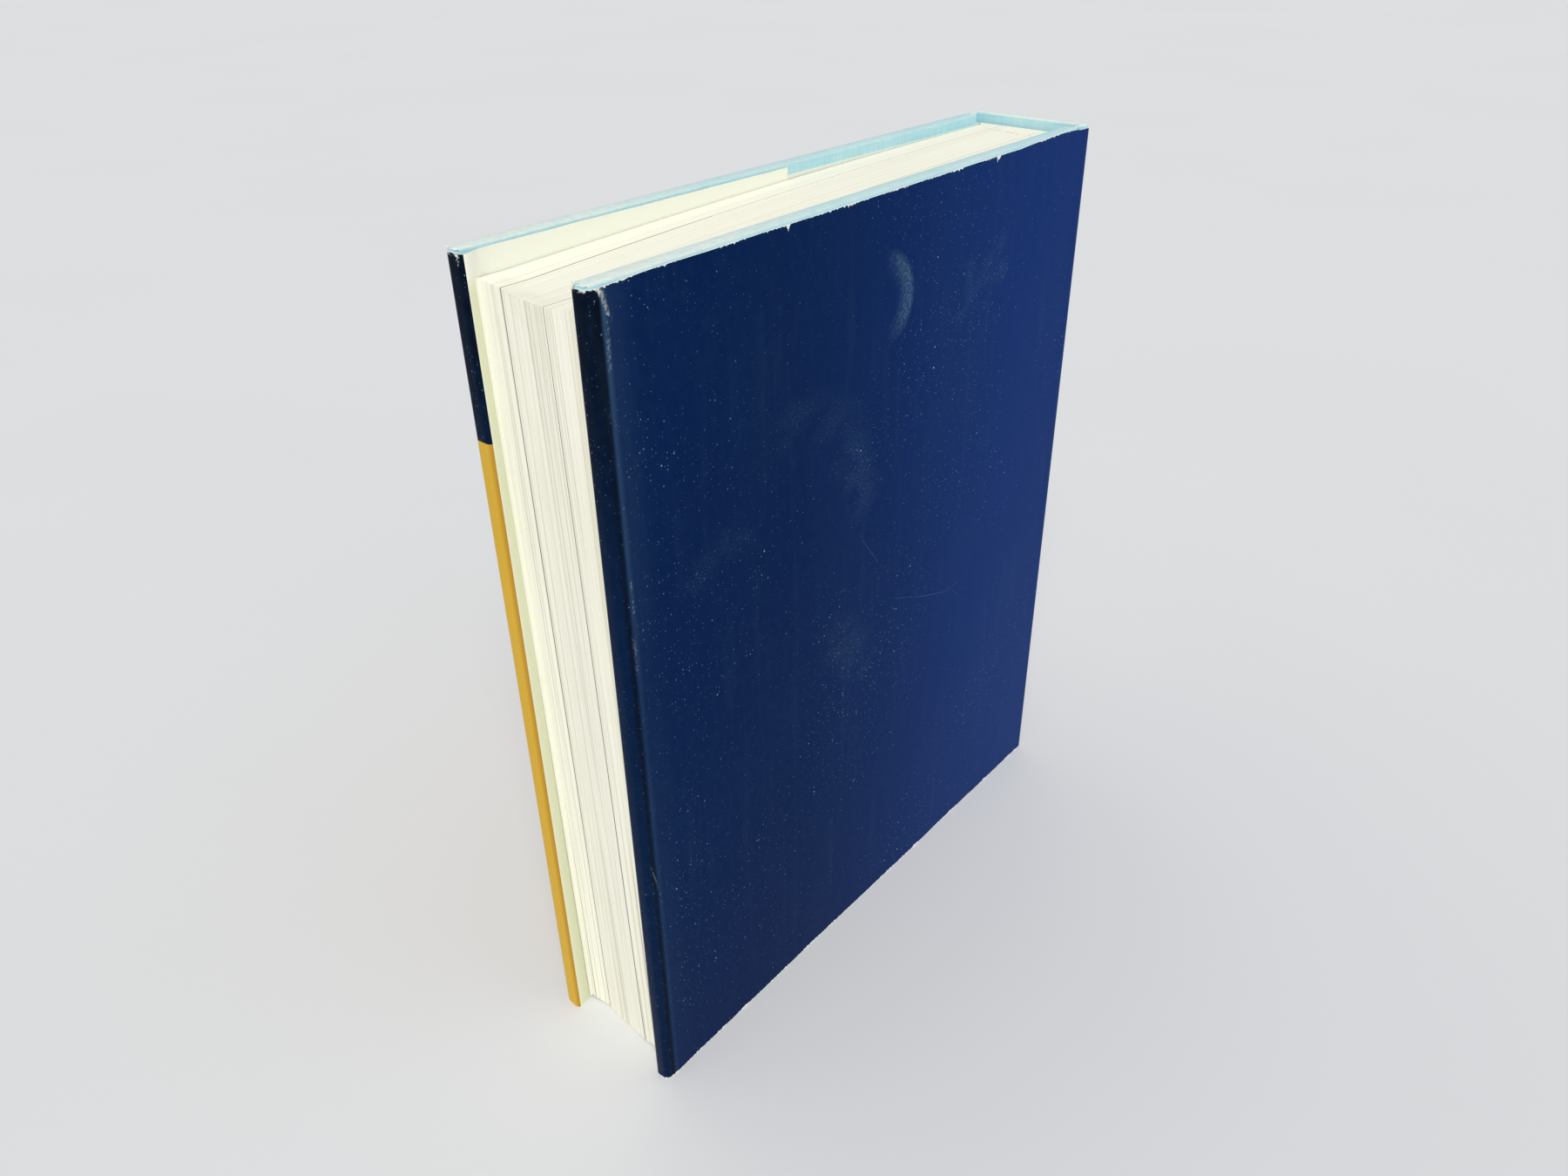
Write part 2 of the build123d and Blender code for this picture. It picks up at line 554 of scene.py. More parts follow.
def spread_cover(sheet: Piece, side: Side, beyond: float = -math.inf) -> None:
    """Turn what lies beyond a reach about the hinge line, out to where the cover stands at rest.

    Args:
        sheet: the folded mesh.
        side: its half of the book.
        beyond: the reach, or all of it if none is given.
    """
    with editing(sheet):
        select(Pick.VERTS, lambda vert: plan.reach_of(vert) > beyond)
        bpy.ops.transform.rotate(
            value=side.value * plan.spread,
            orient_axis="Z",
            center_override=(plan.hinge_x, side.value * plan.hinge_y, 0),
        )


def bend_across_joint(piece: Piece) -> None:
    """Put the place of a piece that crosses the joint into its mesh.

    Args:
        piece: the finished piece.
    """
    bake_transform(piece)


@dataclass(frozen=True)
class Grain:
    """Soft noise: cells to a metre, detail, and stretch along the three axes.

    Where it is read as patches, what lies between its two levels rises from 0 to the amount.
    """

    scale: float
    detail: float = 2.0
    levels: Point = (0.0, 1.0)
    amount: float = 1.0
    stretch: Triple = (1, 1, 1)


class Shader:
    """A material with one surface shader and the nodes that feed it."""

    def __init__(self, name: str, **sockets: object) -> None:
        """Start a material.

        Args:
            name: its name in the maker's words.
            sockets: values set on the shader's own sockets, with _ for a space.
        """
        self.material = bpy.data.materials.new(name)
        self.material.use_nodes = True
        self.nodes = self.material.node_tree.nodes
        self.links = self.material.node_tree.links
        self.surface = self.nodes["Principled BSDF"]
        for socket, value in sockets.items():
            self.surface.inputs[socket.replace("_", " ")].default_value = value

    def set(self, socket: Socket, value: object) -> None:
        """Link a socket to another, or give it a value.

        Args:
            socket: the input.
            value: an output or a plain value.
        """
        if isinstance(value, Socket):
            self.links.new(value, socket)
        else:
            socket.default_value = value

    def node(self, kind: str, inputs: dict | None = None, **settings: object) -> bpy.types.Node:
        """Add a node.

        Args:
            kind: its type, without the ShaderNode at the front.
            inputs: values or sockets by input name or number.
            settings: its own properties.

        Returns:
            The node.
        """
        made = self.nodes.new("ShaderNode" + kind)
        for name, value in settings.items():
            setattr(made, name, value)
        for name, value in (inputs or {}).items():
            self.set(made.inputs[name], value)
        return made

    def math(self, operation: str, *values: Amount) -> Socket:
        """One sum of a Math node."""
        return self.node("Math", dict(enumerate(values)), operation=operation).outputs[0]

    def vector(self, operation: str, first: object, second: object) -> Socket:
        """One sum of a Vector Math node.

        Args:
            operation: its name.
            first: a vector.
            second: another vector, or how far to scale.

        Returns:
            A vector, or a number for a distance or a dot product.
        """
        inputs = {0: first, "Scale" if operation == "SCALE" else 1: second}
        outputs = self.node("VectorMath", inputs, operation=operation).outputs
        return outputs["Value" if operation in ("DISTANCE", "DOT_PRODUCT") else "Vector"]

    def times(self, *amounts: Amount) -> Socket:
        """The product of some amounts."""
        return reduce(lambda one, other: self.math("MULTIPLY", one, other), amounts)

    def plus(self, *amounts: Amount) -> Socket:
        """The sum of some amounts."""
        return reduce(lambda one, other: self.math("ADD", one, other), amounts)

    def most(self, *amounts: Amount) -> Socket:
        """The largest of some amounts."""
        return reduce(lambda one, other: self.math("MAXIMUM", one, other), amounts)

    def minus(self, amount: Amount, less: Amount) -> Socket:
        """One amount less another."""
        return self.math("SUBTRACT", amount, less)

    def apart(self, one: Amount, other: Amount) -> Socket:
        """How far two amounts are apart."""
        return self.math("ABSOLUTE", self.minus(one, other))

    def scaled(self, amount: Amount, scale: Amount, start: Amount) -> Socket:
        """An amount scaled and added to a start."""
        return self.math("MULTIPLY_ADD", amount, scale, start)

    def wave(self, along: Socket, pitch: float) -> Socket:
        """A wave from -1 to 1 with a pitch."""
        return self.math("SINE", self.times(along, math.tau / pitch))

    def ramp(self, value: Amount, low: float, high: float, amount: float = 1.0) -> Socket:
        """A value stretched so that low gives 0 and high gives the amount, held beyond them."""
        inputs = {"Value": value, "From Min": low, "From Max": high, "To Max": amount}
        return self.node("MapRange", inputs, interpolation_type="SMOOTHSTEP").outputs[0]

    def mix(self, share: Amount, first: object, second: object) -> Socket:
        """A colour between two colours."""
        return self.node("Mix", {0: share, 6: first, 7: second}, data_type="RGBA").outputs[2]

    def noise(self, vector: Socket, grain: Grain) -> Socket:
        """Soft noise from 0 to 1.

        Args:
            vector: the coordinates.
            grain: its size, detail and stretch.

        Returns:
            The noise.
        """
        if grain.stretch != (1, 1, 1):
            vector = self.node("Mapping", {"Vector": vector, "Scale": grain.stretch}).outputs[0]
        inputs = {"Vector": vector, "Scale": grain.scale, "Detail": grain.detail}
        return self.node("TexNoise", inputs).outputs[0]

    def patches(self, vector: Socket, grain: Grain) -> Socket:
        """Patches of soft noise between its levels."""
        return self.ramp(self.noise(vector, grain), *grain.levels, grain.amount)

    def place(self) -> Socket:
        """The Object coordinates."""
        return self.node("TexCoord").outputs["Object"]

    def standing(self) -> tuple[Socket, Socket, Socket]:
        """The reach, the Y and the height of a place."""
        x, y, z = self.split(self.place())
        return self.minus(plan.spine_x, x), y, z

    def flat_map(self, name: str = "sheet") -> Socket:
        """The piece's own flat map."""
        return self.node("UVMap", uv_map=name).outputs[0]

    def split(self, vector: Socket) -> tuple[Socket, Socket, Socket]:
        """The three numbers of a vector."""
        outputs = self.node("SeparateXYZ", {0: vector}).outputs
        return outputs[0], outputs[1], outputs[2]

    def paint(self, colour: Socket, height: Socket, depth: float, strength: float) -> "Shader":
        """Link the surface's colour and its relief.

        Args:
            colour: the colour.
            height: the relief, from 0 to 1.
            depth: how deep 1 is.
            strength: how strongly it shows.

        Returns:
            This material.
        """
        relief = {"Height": height, "Distance": depth, "Strength": strength}
        self.set(self.surface.inputs["Base Color"], colour)
        self.set(self.surface.inputs["Normal"], self.node("Bump", relief).outputs[0])
        return self

    def wear(self, piece: Piece) -> None:
        """Dress a piece in this material alone."""
        piece.data.materials.clear()
        piece.data.materials.append(self.material)


class SheetShader(Shader):
    """A material laid on a sheet's own flat map: length from mid-spine, and height."""

    def __init__(self, name: str, **sockets: object) -> None:
        """Start the material and read its map.

        Args:
            name: its name in the maker's words.
            sockets: values set on the shader's own sockets, with _ for a space.
        """
        super().__init__(name, **sockets)
        self.sheet = self.flat_map()
        self.length, self.height, _ = self.split(self.sheet)


@dataclass(frozen=True)
class PlainPaper:
    """Uncoated paper with faint fibres and cloudiness."""

    name: str
    colour: RGBA
    shade: RGBA
    clouds: Grain = Grain(38, 4, (0.3, 0.75), 0.5)
    fibres: Grain = Grain(2200, 3, (0.62, 0.8), 0.3, (1, 1, 0.35))

    def make(self) -> Shader:
        """Build the material.

        Returns:
            The material.
        """
        paper = Shader(self.name, Roughness=0.78, Specular_IOR_Level=0.22)
        place = paper.place()
        tone = paper.mix(paper.patches(place, self.clouds), self.colour, self.shade)
        tone = paper.mix(paper.patches(place, self.fibres), tone, self.shade)
        return paper.paint(tone, paper.noise(place, self.fibres), depth=0.02 * MM, strength=0.5)


@dataclass(frozen=True)
class GreyBoard:
    """Grey binder's board, pressed from mixed pulp."""

    name: str = "binders_board"
    colour: RGBA = (0.270, 0.235, 0.175, 1)
    shade: RGBA = (0.150, 0.130, 0.100, 1)
    pulp: Grain = Grain(900, 5, (0.3, 0.7))
    flecks: Grain = Grain(2600, 2, (0.6, 0.72))

    def make(self) -> Shader:
        """Build the material.

        Returns:
            The material.
        """
        board = Shader(self.name, Roughness=0.9, Specular_IOR_Level=0.15)
        place = board.place()
        tone = board.mix(board.patches(place, self.pulp), self.shade, self.colour)
        tone = board.mix(board.patches(place, self.flecks), tone, self.shade)
        return board.paint(tone, board.noise(place, self.pulp), depth=0.08 * MM, strength=0.7)


@dataclass(frozen=True)
class GluedGauze:
    """Open-weave gauze whose meshes are filled with glue."""

    name: str = "glued_gauze"
    thread: RGBA = (0.66, 0.62, 0.50, 1)
    glue: RGBA = (0.42, 0.34, 0.20, 1)
    pitch: float = 1.1 * MM
    thread_edge: Point = (0.55, 0.85)

    def make(self) -> Shader:
        """Build the material.

        Returns:
            The material.
        """
        gauze = Shader(self.name, Roughness=0.62, Specular_IOR_Level=0.3)
        x, y, z = gauze.split(gauze.place())
        waves = [gauze.wave(along, self.pitch) for along in (gauze.plus(x, y), z)]
        threads = gauze.ramp(gauze.most(*waves), *self.thread_edge)
        tone = gauze.mix(threads, self.glue, self.thread)
        return gauze.paint(tone, threads, depth=0.12 * MM, strength=0.8)


@dataclass(frozen=True)
class CaseClothFinish:
    """Fine plain-woven book cloth, its threads following the sheet, rubbed paler on its edges.

    A wear is where rubbing starts and where it is full. The corners have a scale and a start.
    """

    name: str = "book_cloth"
    colour: RGBA = (0.415, 0.730, 0.820, 1)
    shade: RGBA = (0.345, 0.610, 0.690, 1)
    rubbed: RGBA = (0.850, 0.870, 0.770, 1)
    pitch: float = 0.34 * MM
    weave: float = 0.12
    slubs: tuple[Grain, ...] = (Grain(2600, stretch=(1, 0.05, 1)), Grain(2600, stretch=(0.05, 1, 1)))
    thread_tones: Point = (0.65, 1.35)
    fading: Grain = Grain(45, 4, (0.35, 0.8), 0.30)
    rubbing: Grain = Grain(600, 5, (0.3, 0.75), 0.45)
    edge_wear: Point = (0.8 * MM, 0.1 * MM)
    spine_wear: Point = (12 * MM, 2 * MM)
    fore_wear: Point = (90 * MM, 195 * MM)
    corner_wear: Point = (0.62, 0.30)

    def make(self) -> Shader:
        """Build the material.

        Returns:
            The material.
        """
        cloth = SheetShader(
            self.name, Roughness=0.84, Specular_IOR_Level=0.18, Sheen_Weight=0.1, Sheen_Roughness=0.4
        )
        warp, weft = (cloth.wave(along, self.pitch) for along in (cloth.length, cloth.height))
        slubs = [cloth.noise(cloth.sheet, slub) for slub in self.slubs]
        thread = cloth.plus(cloth.times(warp, weft, self.weave), *slubs)
        tone = cloth.mix(cloth.ramp(thread, *self.thread_tones), self.shade, self.colour)
        tone = cloth.mix(cloth.patches(cloth.sheet, self.fading), tone, self.rubbed)
        tone = cloth.mix(self.wear_at_edges(cloth), tone, self.rubbed)
        return cloth.paint(tone, thread, depth=0.03 * MM, strength=0.6)

    def wear_at_edges(self, cloth: Shader) -> Socket:
        """How far the cloth is rubbed pale: along head and tail, most at the four corners.

        Args:
            cloth: the material.

        Returns:
            The amount, from 0 to 1.
        """
        reach, _, z = cloth.standing()
        head = cloth.ramp(cloth.minus(plan.height, z), *self.edge_wear)
        tail = cloth.ramp(z, *self.edge_wear)
        corners = cloth.most(cloth.ramp(reach, *self.spine_wear), cloth.ramp(reach, *self.fore_wear))
        uneven = cloth.plus(cloth.patches(cloth.place(), self.rubbing), 1 - self.rubbing.amount)
        return cloth.times(cloth.most(head, tail), uneven, cloth.scaled(corners, *self.corner_wear))


@dataclass(frozen=True)
class PageFinish:
    """The cut edges of a few hundred leaves: fine lines along them, a few of them darker, and painted shade
    in the two open gaps.

    A pair of lengths is where a change starts and where it is full, by reach, height or Y. The
    amounts of browning and glue have a scale and a start.
    """

    gaps: tuple[float, ...]
    name: str = "page_edges"
    colour: RGBA = (0.958, 0.950, 0.820, 1)
    line: RGBA = (0.640, 0.590, 0.430, 1)
    dark: RGBA = (0.130, 0.120, 0.090, 1)
    tan: RGBA = (0.700, 0.600, 0.400, 1)
    glue: RGBA = (0.780, 0.700, 0.380, 1)
    fine: Grain = Grain(4200, 2, (0.50, 0.74), 0.46, (1, 0.004, 1))
    packs: Grain = Grain(1000, 2, (0.52, 0.62), 0.50, (1, 0.003, 1))
    broad: Grain = Grain(190, 3, (0.5, 0.8), 0.10, (1, 0.02, 1))
    slits: Grain = Grain(1500, 0, (0.735, 0.765), 0.55, (1, 0.0025, 1))
    gap_edge: Point = (0.24 * MM, 0.10 * MM)
    gap_amount: float = 0.95
    head_slope: Point = (0.4, 0.7)
    head_softness: float = 0.62
    browning: Grain = Grain(120, 5, (0.45, 0.8))
    browned_height: Point = (218 * MM, 234 * MM)
    browned_reach: Point = (192 * MM, 199 * MM)
    browned: Point = (0.28, 0.05)
    glue_patches: Grain = Grain(420, 4, (0.4, 0.65))
    glued_reach: Point = (9.5 * MM, 4 * MM)
    glued_corner: Point = (11 * MM, 15 * MM)
    glue_amount: Point = (0.55, 0.12)
    wander: Grain = Grain(130, 2)
    breaks: Grain = Grain(500, 2, (0.35, 0.6), 0.5)
    stitch_reach: float = 13.6 * MM
    stitch_wander: float = 2.4 * MM
    stitch_lean: float = 0.12
    stitch_edge: Point = (0.5 * MM, 0.15 * MM)
    stitch_ends: tuple[Point, Point] = ((11 * MM, 7 * MM), (-10 * MM, -6 * MM))

    def make(self) -> Shader:
        """Build the material.

        Returns:
            The material.
        """
        pages = Shader(self.name, Roughness=0.8, Specular_IOR_Level=0.2)
        leaves = pages.flat_map("leaves")
        across, _, _ = pages.split(leaves)
        up = pages.split(pages.node("NewGeometry").outputs["Normal"])[2]
        on_head = pages.ramp(up, *self.head_slope)
        softer = pages.scaled(on_head, -self.head_softness, 1.0)
        lines = pages.most(pages.patches(leaves, self.fine), pages.patches(leaves, self.packs))
        ruled = pages.times(pages.plus(lines, pages.patches(leaves, self.broad)), softer)
        # Painted shade: the two open gaps between leaves are painted nearly black.
        gaps = [pages.ramp(pages.apart(across, gap), *self.gap_edge, self.gap_amount) for gap in self.gaps]
        slit = pages.most(pages.patches(leaves, self.slits), *gaps)
        tone = pages.mix(ruled, self.colour, self.line)
        tone = pages.mix(pages.times(slit, softer), tone, self.dark)
        tone = pages.mix(self.handled(pages), tone, self.tan)
        tone = pages.mix(self.glued(pages, on_head), tone, self.glue)
        tone = pages.mix(self.stitch_line(pages, on_head), tone, self.dark)
        relief = pages.plus(pages.noise(leaves, self.fine), pages.noise(leaves, self.packs))
        relief = pages.times(pages.minus(relief, slit), softer)
        return pages.paint(tone, relief, depth=0.05 * MM, strength=0.4)

    def handled(self, pages: Shader) -> Socket:
        """How far the edges are browned: lightly all over, a little more at the fore-edge head.

        Args:
            pages: the material.

        Returns:
            The amount, from 0 to 1.
        """
        reach, _, z = pages.standing()
        near = pages.times(pages.ramp(z, *self.browned_height), pages.ramp(reach, *self.browned_reach))
        patchy = pages.patches(pages.place(), self.browning)
        return pages.times(patchy, pages.scaled(near, *self.browned))

    def glued(self, pages: Shader, on_head: Socket) -> Socket:
        """Where old glue yellows the ends of the folded sections.

        Args:
            pages: the material.
            on_head: 1 on the head and 0 elsewhere.

        Returns:
            The amount, from 0 to 1.
        """
        reach, y, _ = pages.standing()
        near = pages.ramp(reach, *self.glued_reach)
        corner = pages.scaled(pages.ramp(y, *self.glued_corner), *self.glue_amount)
        return pages.times(near, pages.patches(pages.place(), self.glue_patches), corner, on_head)

    def stitch_line(self, pages: Shader, on_head: Socket) -> Socket:
        """The uneven line on the head where the leaves open away from the glued folds.

        Args:
            pages: the material.
            on_head: 1 on the head and 0 elsewhere.

        Returns:
            The amount, from 0 to 1.
        """
        reach, y, _ = pages.standing()
        wander = pages.times(pages.noise(pages.place(), self.wander), self.stitch_wander)
        line = pages.minus(self.stitch_reach, pages.scaled(y, self.stitch_lean, wander))
        shown = [pages.ramp(y, *end) for end in self.stitch_ends]
        broken = pages.patches(pages.place(), self.breaks)
        return pages.times(pages.ramp(pages.apart(reach, line), *self.stitch_edge), *shown, broken, on_head)


@dataclass(frozen=True)
class Mark:
    """A straight mark on a panel: its ends by reach and height, and its width, in millimetres."""

    ends: tuple[Point, Point]
    width: float
    amount: float


@dataclass(frozen=True)
class Dust:
    """Dust of one size: cells to a metre, largest speck in a cell, how many are empty, strength."""

    scale: float
    size: float
    rare: float
    strength: float


STREAKS = (
    Mark(((199.5, 239.0), (197.6, 231.8)), 0.9, 0.36),
    Mark(((198.3, 232.5), (198.9, 222.0)), 0.8, 0.16),
    Mark(((198.8, 171.5), (198.7, 163.5)), 0.5, 0.16),
    Mark(((199.5, 157.0), (199.3, 147.0)), 0.9, 0.08),
    Mark(((201.2, 86.0), (198.9, 74.0)), 0.35, 0.1),
)
SMEARS = (
    Mark(((53.4, 205.7), (45.6, 206.5)), 5.0, 0.26),
    Mark(((62.9, 211.5), (62.8, 202.0)), 4.0, 0.18),
    Mark(((66.6, 198.2), (47.0, 214.9)), 5.0, 0.16),
    Mark(((117.2, 173.0), (112.0, 160.0)), 12.0, 0.20),
    Mark(((120.6, 115.0), (112.0, 104.0)), 12.0, 0.22),
    Mark(((178.4, 163.0), (160.0, 168.0)), 9.0, 0.10),
    Mark(((140.0, 190.0), (120.0, 184.0)), 12.0, 0.12),
)
SCRATCHES = (
    Mark(((94.5, 116.6), (80.7, 110.5)), 0.18, 0.18),
    Mark(((80.7, 110.5), (66.0, 105.1)), 0.20, 0.26),
    Mark(((66.0, 105.1), (57.2, 105.2)), 0.18, 0.22),
    Mark(((111.9, 144.7), (103.7, 133.6)), 0.16, 0.20),
    Mark(((89.0, 128.5), (51.0, 94.2)), 0.13, 0.10),
)


@dataclass(frozen=True)
class JacketPrint:
    """Glossy printed jacket paper: fields of ink, cream flaps, and the wear of a handled jacket, with painted
    reflection, shade and highlight.

    A pair of lengths is where a change starts and where it is full, and a third number is its
    amount. Other pairs are a scale and a start. The tables of wear are in millimetres: corners by
    place past the fold, spread and fall from the top edge, nicks by reach, width and drop.
    """

    side: Side
    top: float
    flap_start: float
    to_reach: float
    crease: float
    # Navy ink, partly a painted reflection of blue surroundings; towards the spine it turns bluer, and that
    # is also partly painted reflection.
    ink: RGBA = (0.0008, 0.0135, 0.0720, 1)
    bluer_ink_and_reflection: RGBA = (0.0008, 0.0265, 0.1600, 1)
    deep: RGBA = (0.0015, 0.0105, 0.0440, 1)
    black: RGBA = (0.0010, 0.0032, 0.0110, 1)
    haze: RGBA = (0.012, 0.045, 0.105, 1)
    ochre: RGBA = (0.700, 0.435, 0.050, 1)
    burnt: RGBA = (0.640, 0.375, 0.040, 1)
    # Painted shade for the ochre where the fold turns in towards the flap.
    ochre_turn_shade: RGBA = (0.380, 0.175, 0.026, 1)
    cream: RGBA = (0.900, 0.910, 0.800, 1)
    # Painted shade on the flap beside the fold, where the pages stand next to it.
    flap_painted_shade: RGBA = (0.715, 0.735, 0.515, 1)
    bare: RGBA = (0.82, 0.84, 0.80, 1)
    # A lighter blue for scuffs and smears, and for the painted highlight beside the crease.
    scuff_and_highlight_blue: RGBA = (0.110, 0.215, 0.300, 1)
    dust: RGBA = (0.310, 0.470, 0.570, 1)
    smudges: Grain = Grain(24, 5, (0.38, 0.75), stretch=(1, 0.35, 1))
    smudged_haze: float = 0.10
    smudged_ochre: float = 0.5
    smudged_rough: Point = (0.08, 0.12)
    rubbed_rough: float = 0.45
    scuffed_rough: float = 0.5
    mottle: Grain = Grain(420, 5, (0.36, 0.74), 0.10, (1, 0.6, 1))
    ripples: Grain = Grain(55, 2, stretch=(1, 0.4, 1))
    # Where the painted reflection turns the ink bluer towards the spine.
    fading: Point = (175 * MM, 35 * MM)
    # Painted reflection: past the crease the print is painted darker towards the top.
    darkening: Point = (150 * MM, 234 * MM)
    fold_edge: Point = (-0.4 * MM, 0.6 * MM)
    fold_line: float = 1.0 * MM
    fold_shade: Triple = (1.1 * MM, 0.2 * MM, 0.75)
    band_foot: float = 195 * MM
    turning: Triple = (-1.9 * MM, -0.2 * MM, 0.7)
    flap_shade_reach: Triple = (7.0 * MM, 5.6 * MM, 0.9)
    flap_shade_top: Point = (235 * MM, 230 * MM)
    ragged: Grain = Grain(1300, 3)
    uneven: Grain = Grain(120, 4)
    flaking: Point = (0.92, 1.12)
    top_bite: Point = (1.02, 1.6 * MM)
    foot_bite: Point = (0.98, 1.8 * MM)
    corners: tuple[Triple, ...] = ((-3.2, 0.9, 1.7), (1.5, 5.0, 0.7))
    front_corner: Triple = (3.9, 1.2, 2.4)
    back_corner: Triple = (4.6, 0.8, 1.0)
    corner_edge: Point = (1.2, 0.4)
    nicks: tuple[Triple, ...] = ((142.3, 1.6, 1.3), (52.2, 1.9, 1.1), (52.9, 0.9, 1.5), (120, 0.8, 0.7))
    nick_edge: Point = (1.2, -0.6)
    dusts: tuple[Dust, ...] = (
        Dust(150.0, 0.046, 0.88, 0.95), Dust(430.0, 0.078, 0.78, 0.75), Dust(900.0, 0.120, 0.74, 0.50),
    )
    dust_shake: Grain = Grain(3200, 1, amount=0.45 * MM)
    dust_crowds: Grain = Grain(16, 2, (0.35, 0.7), 0.22)
    dust_edge: Point = (0.0, 0.02)
    dust_full: float = 1.15
    dust_faintness: Point = (0.75, 0.25)
    cleaner: Point = (-8 * MM, 0.0)
    cleaned: Point = (-0.5, 1.0)
    # The painted highlight band beside the crease: its edge, near and wide fades, height, amount and
    # unevenness.
    crease_highlight_edge: Point = (0.6 * MM, -0.6 * MM)
    crease_highlight_near: Point = (-2.6 * MM, -0.4 * MM)
    crease_highlight_wide: Triple = (-11 * MM, 0.0, 0.3)
    crease_highlight_height: Point = (130 * MM, 235 * MM)
    crease_highlight_amount: Point = (0.16, 0.10)
    crease_highlight_grain: Grain = Grain(90, 4, stretch=(1, 0.5, 1))
    crease_highlight_unevenness: Point = (0.8, 0.45)
    drawn: Grain = Grain(220, 3, (0.5, 0.85), 0.03, (1, 0.08, 1))
    smear_grain: Grain = Grain(2200, 3, (0.42, 0.66))
    smear_breaks: Grain = Grain(110, 3, (0.34, 0.60))
    arc_centre: Point = (104.6, 211.4)
    arc_radius: float = 12.5 * MM
    arc_edges: tuple[Point, Point] = ((-7.5 * MM, -0.6 * MM), (1.8 * MM, -0.8 * MM))
    arc_reach: Point = (105 * MM, 95 * MM)
    arc_height: Point = (198 * MM, 208 * MM)
    arc_fading: Point = (0.85, 0.15)
    arc_clots: Grain = Grain(1100, 4, (0.34, 0.70), 0.8)
    arc_amount: float = 0.55

    def make(self) -> Shader:
        """Build the material.

        Returns:
            The material.
        """
        gloss = SheetShader("jacket_print_" + self.side.label, IOR=1.09)
        past = gloss.minus(gloss.length, self.to_reach + self.crease)
        smudge = gloss.patches(gloss.sheet, self.smudges)
        outside = gloss.math("LESS_THAN", gloss.length, self.flap_start)
        scuffs_and_crease_highlight = gloss.times(self.scuffs_and_crease_highlight(gloss, past), outside)
        fewer = gloss.scaled(gloss.ramp(past, *self.cleaner), *self.cleaned)
        specks = gloss.most(*(self.specks(gloss, dust) for dust in self.dusts))
        rubbed = self.rubs(gloss)
        tone = gloss.mix(scuffs_and_crease_highlight, self.inks(gloss, past, smudge), self.scuff_and_highlight_blue)
        tone = gloss.mix(gloss.times(specks, fewer, outside), tone, self.dust)
        tone = gloss.mix(outside, self.flap(gloss), tone)
        worn = (gloss.times(rubbed, self.rubbed_rough), gloss.times(scuffs_and_crease_highlight, self.scuffed_rough))
        rough = gloss.plus(gloss.scaled(smudge, *self.smudged_rough), *worn)
        gloss.set(gloss.surface.inputs["Roughness"], rough)
        tone = gloss.mix(rubbed, tone, self.bare)
        ripple = gloss.noise(gloss.sheet, self.ripples)
        return gloss.paint(tone, ripple, depth=0.2 * MM, strength=0.3)

    def inks(self, gloss: SheetShader, past: Socket, smudge: Socket) -> Socket:
        """The printed colours.

        Args:
            gloss: the material.
            past: how far a place lies past the old crease.
            smudge: how far it is smudged.

        Returns:
            Navy, partly a painted reflection, bluer towards the spine and nearly black past the crease where
            that reflection falls away, with a painted shade band beside the fold line, and ochre at the
            front, painted darker as shade where the fold turns in.
        """
        # Partly painted reflection: the ink turns bluer towards the spine.
        tone = gloss.mix(gloss.ramp(gloss.length, *self.fading), self.ink, self.bluer_ink_and_reflection)
        # Painted reflection: past the crease, where the panel's painted blue reflection falls away, the print
        # is painted nearly black, darker towards the top.
        folded = gloss.mix(gloss.ramp(gloss.height, *self.darkening), self.deep, self.black)
        tone = gloss.mix(gloss.ramp(past, *self.fold_edge), tone, folded)
        beside = gloss.ramp(gloss.apart(past, self.fold_line), *self.fold_shade)
        tone = gloss.mix(beside, tone, self.black)
        cloudy = gloss.plus(gloss.times(smudge, self.smudged_haze), gloss.patches(gloss.sheet, self.mottle))
        tone = gloss.mix(cloudy, tone, self.haze)
        if self.side is Side.BACK:
            return tone
        below = gloss.math("LESS_THAN", gloss.height, self.band_foot)
        beyond = gloss.math("GREATER_THAN", gloss.length, plan.half_spine)
        ochre = gloss.mix(gloss.times(smudge, self.smudged_ochre), self.ochre, self.burnt)
        # Painted shade: the ochre is painted darker over the last 1.9 mm where the fold turns in towards the
        # flap.
        turning = gloss.ramp(gloss.minus(gloss.length, self.flap_start), *self.turning)
        ochre = gloss.mix(turning, ochre, self.ochre_turn_shade)
        return gloss.mix(gloss.times(below, beyond), tone, ochre)

    def flap(self, gloss: SheetShader) -> Socket:
        """The unprinted flap, with painted shade along the fold below the head of the pages.

        Args:
            gloss: the material.

        Returns:
            Its colour.
        """
        # Painted shade: within 7 mm of the fold, and below the head of the pages, the cream is painted darker
        # and yellower.
        near = gloss.ramp(gloss.minus(gloss.length, self.flap_start), *self.flap_shade_reach)
        near = gloss.times(near, gloss.ramp(gloss.height, *self.flap_shade_top))
        return gloss.mix(near, self.cream, self.flap_painted_shade)

    def spot(self, place: Point) -> Vector:
        """A reach and a height on the panel, in millimetres, as a place on the flat map."""
        return Vector((place[0] * MM + self.to_reach, place[1] * MM, 0.0))

    def marks(self, gloss: SheetShader, marks: tuple[Mark, ...], broken: Amount = 1.0) -> list[Socket]:
        """Straight marks, strongest on their lines.

        Args:
            gloss: the material.
            marks: their places and strengths.
            broken: what breaks them up, from 0 to 1.

        Returns:
            The amount of each.
        """
        amounts = []
        for mark in marks:
            start, end = (self.spot(place) for place in mark.ends)
            run = end - start
            arm = gloss.vector("SUBTRACT", gloss.sheet, start)
            share = gloss.vector("DOT_PRODUCT", arm, run / run.length_squared)
            share = gloss.most(gloss.math("MINIMUM", share, 1.0), 0.0)
            off = gloss.vector("DISTANCE", arm, gloss.vector("SCALE", run, share))
            amounts.append(gloss.times(gloss.ramp(off, mark.width * MM, 0.0, mark.amount), broken))
        return amounts

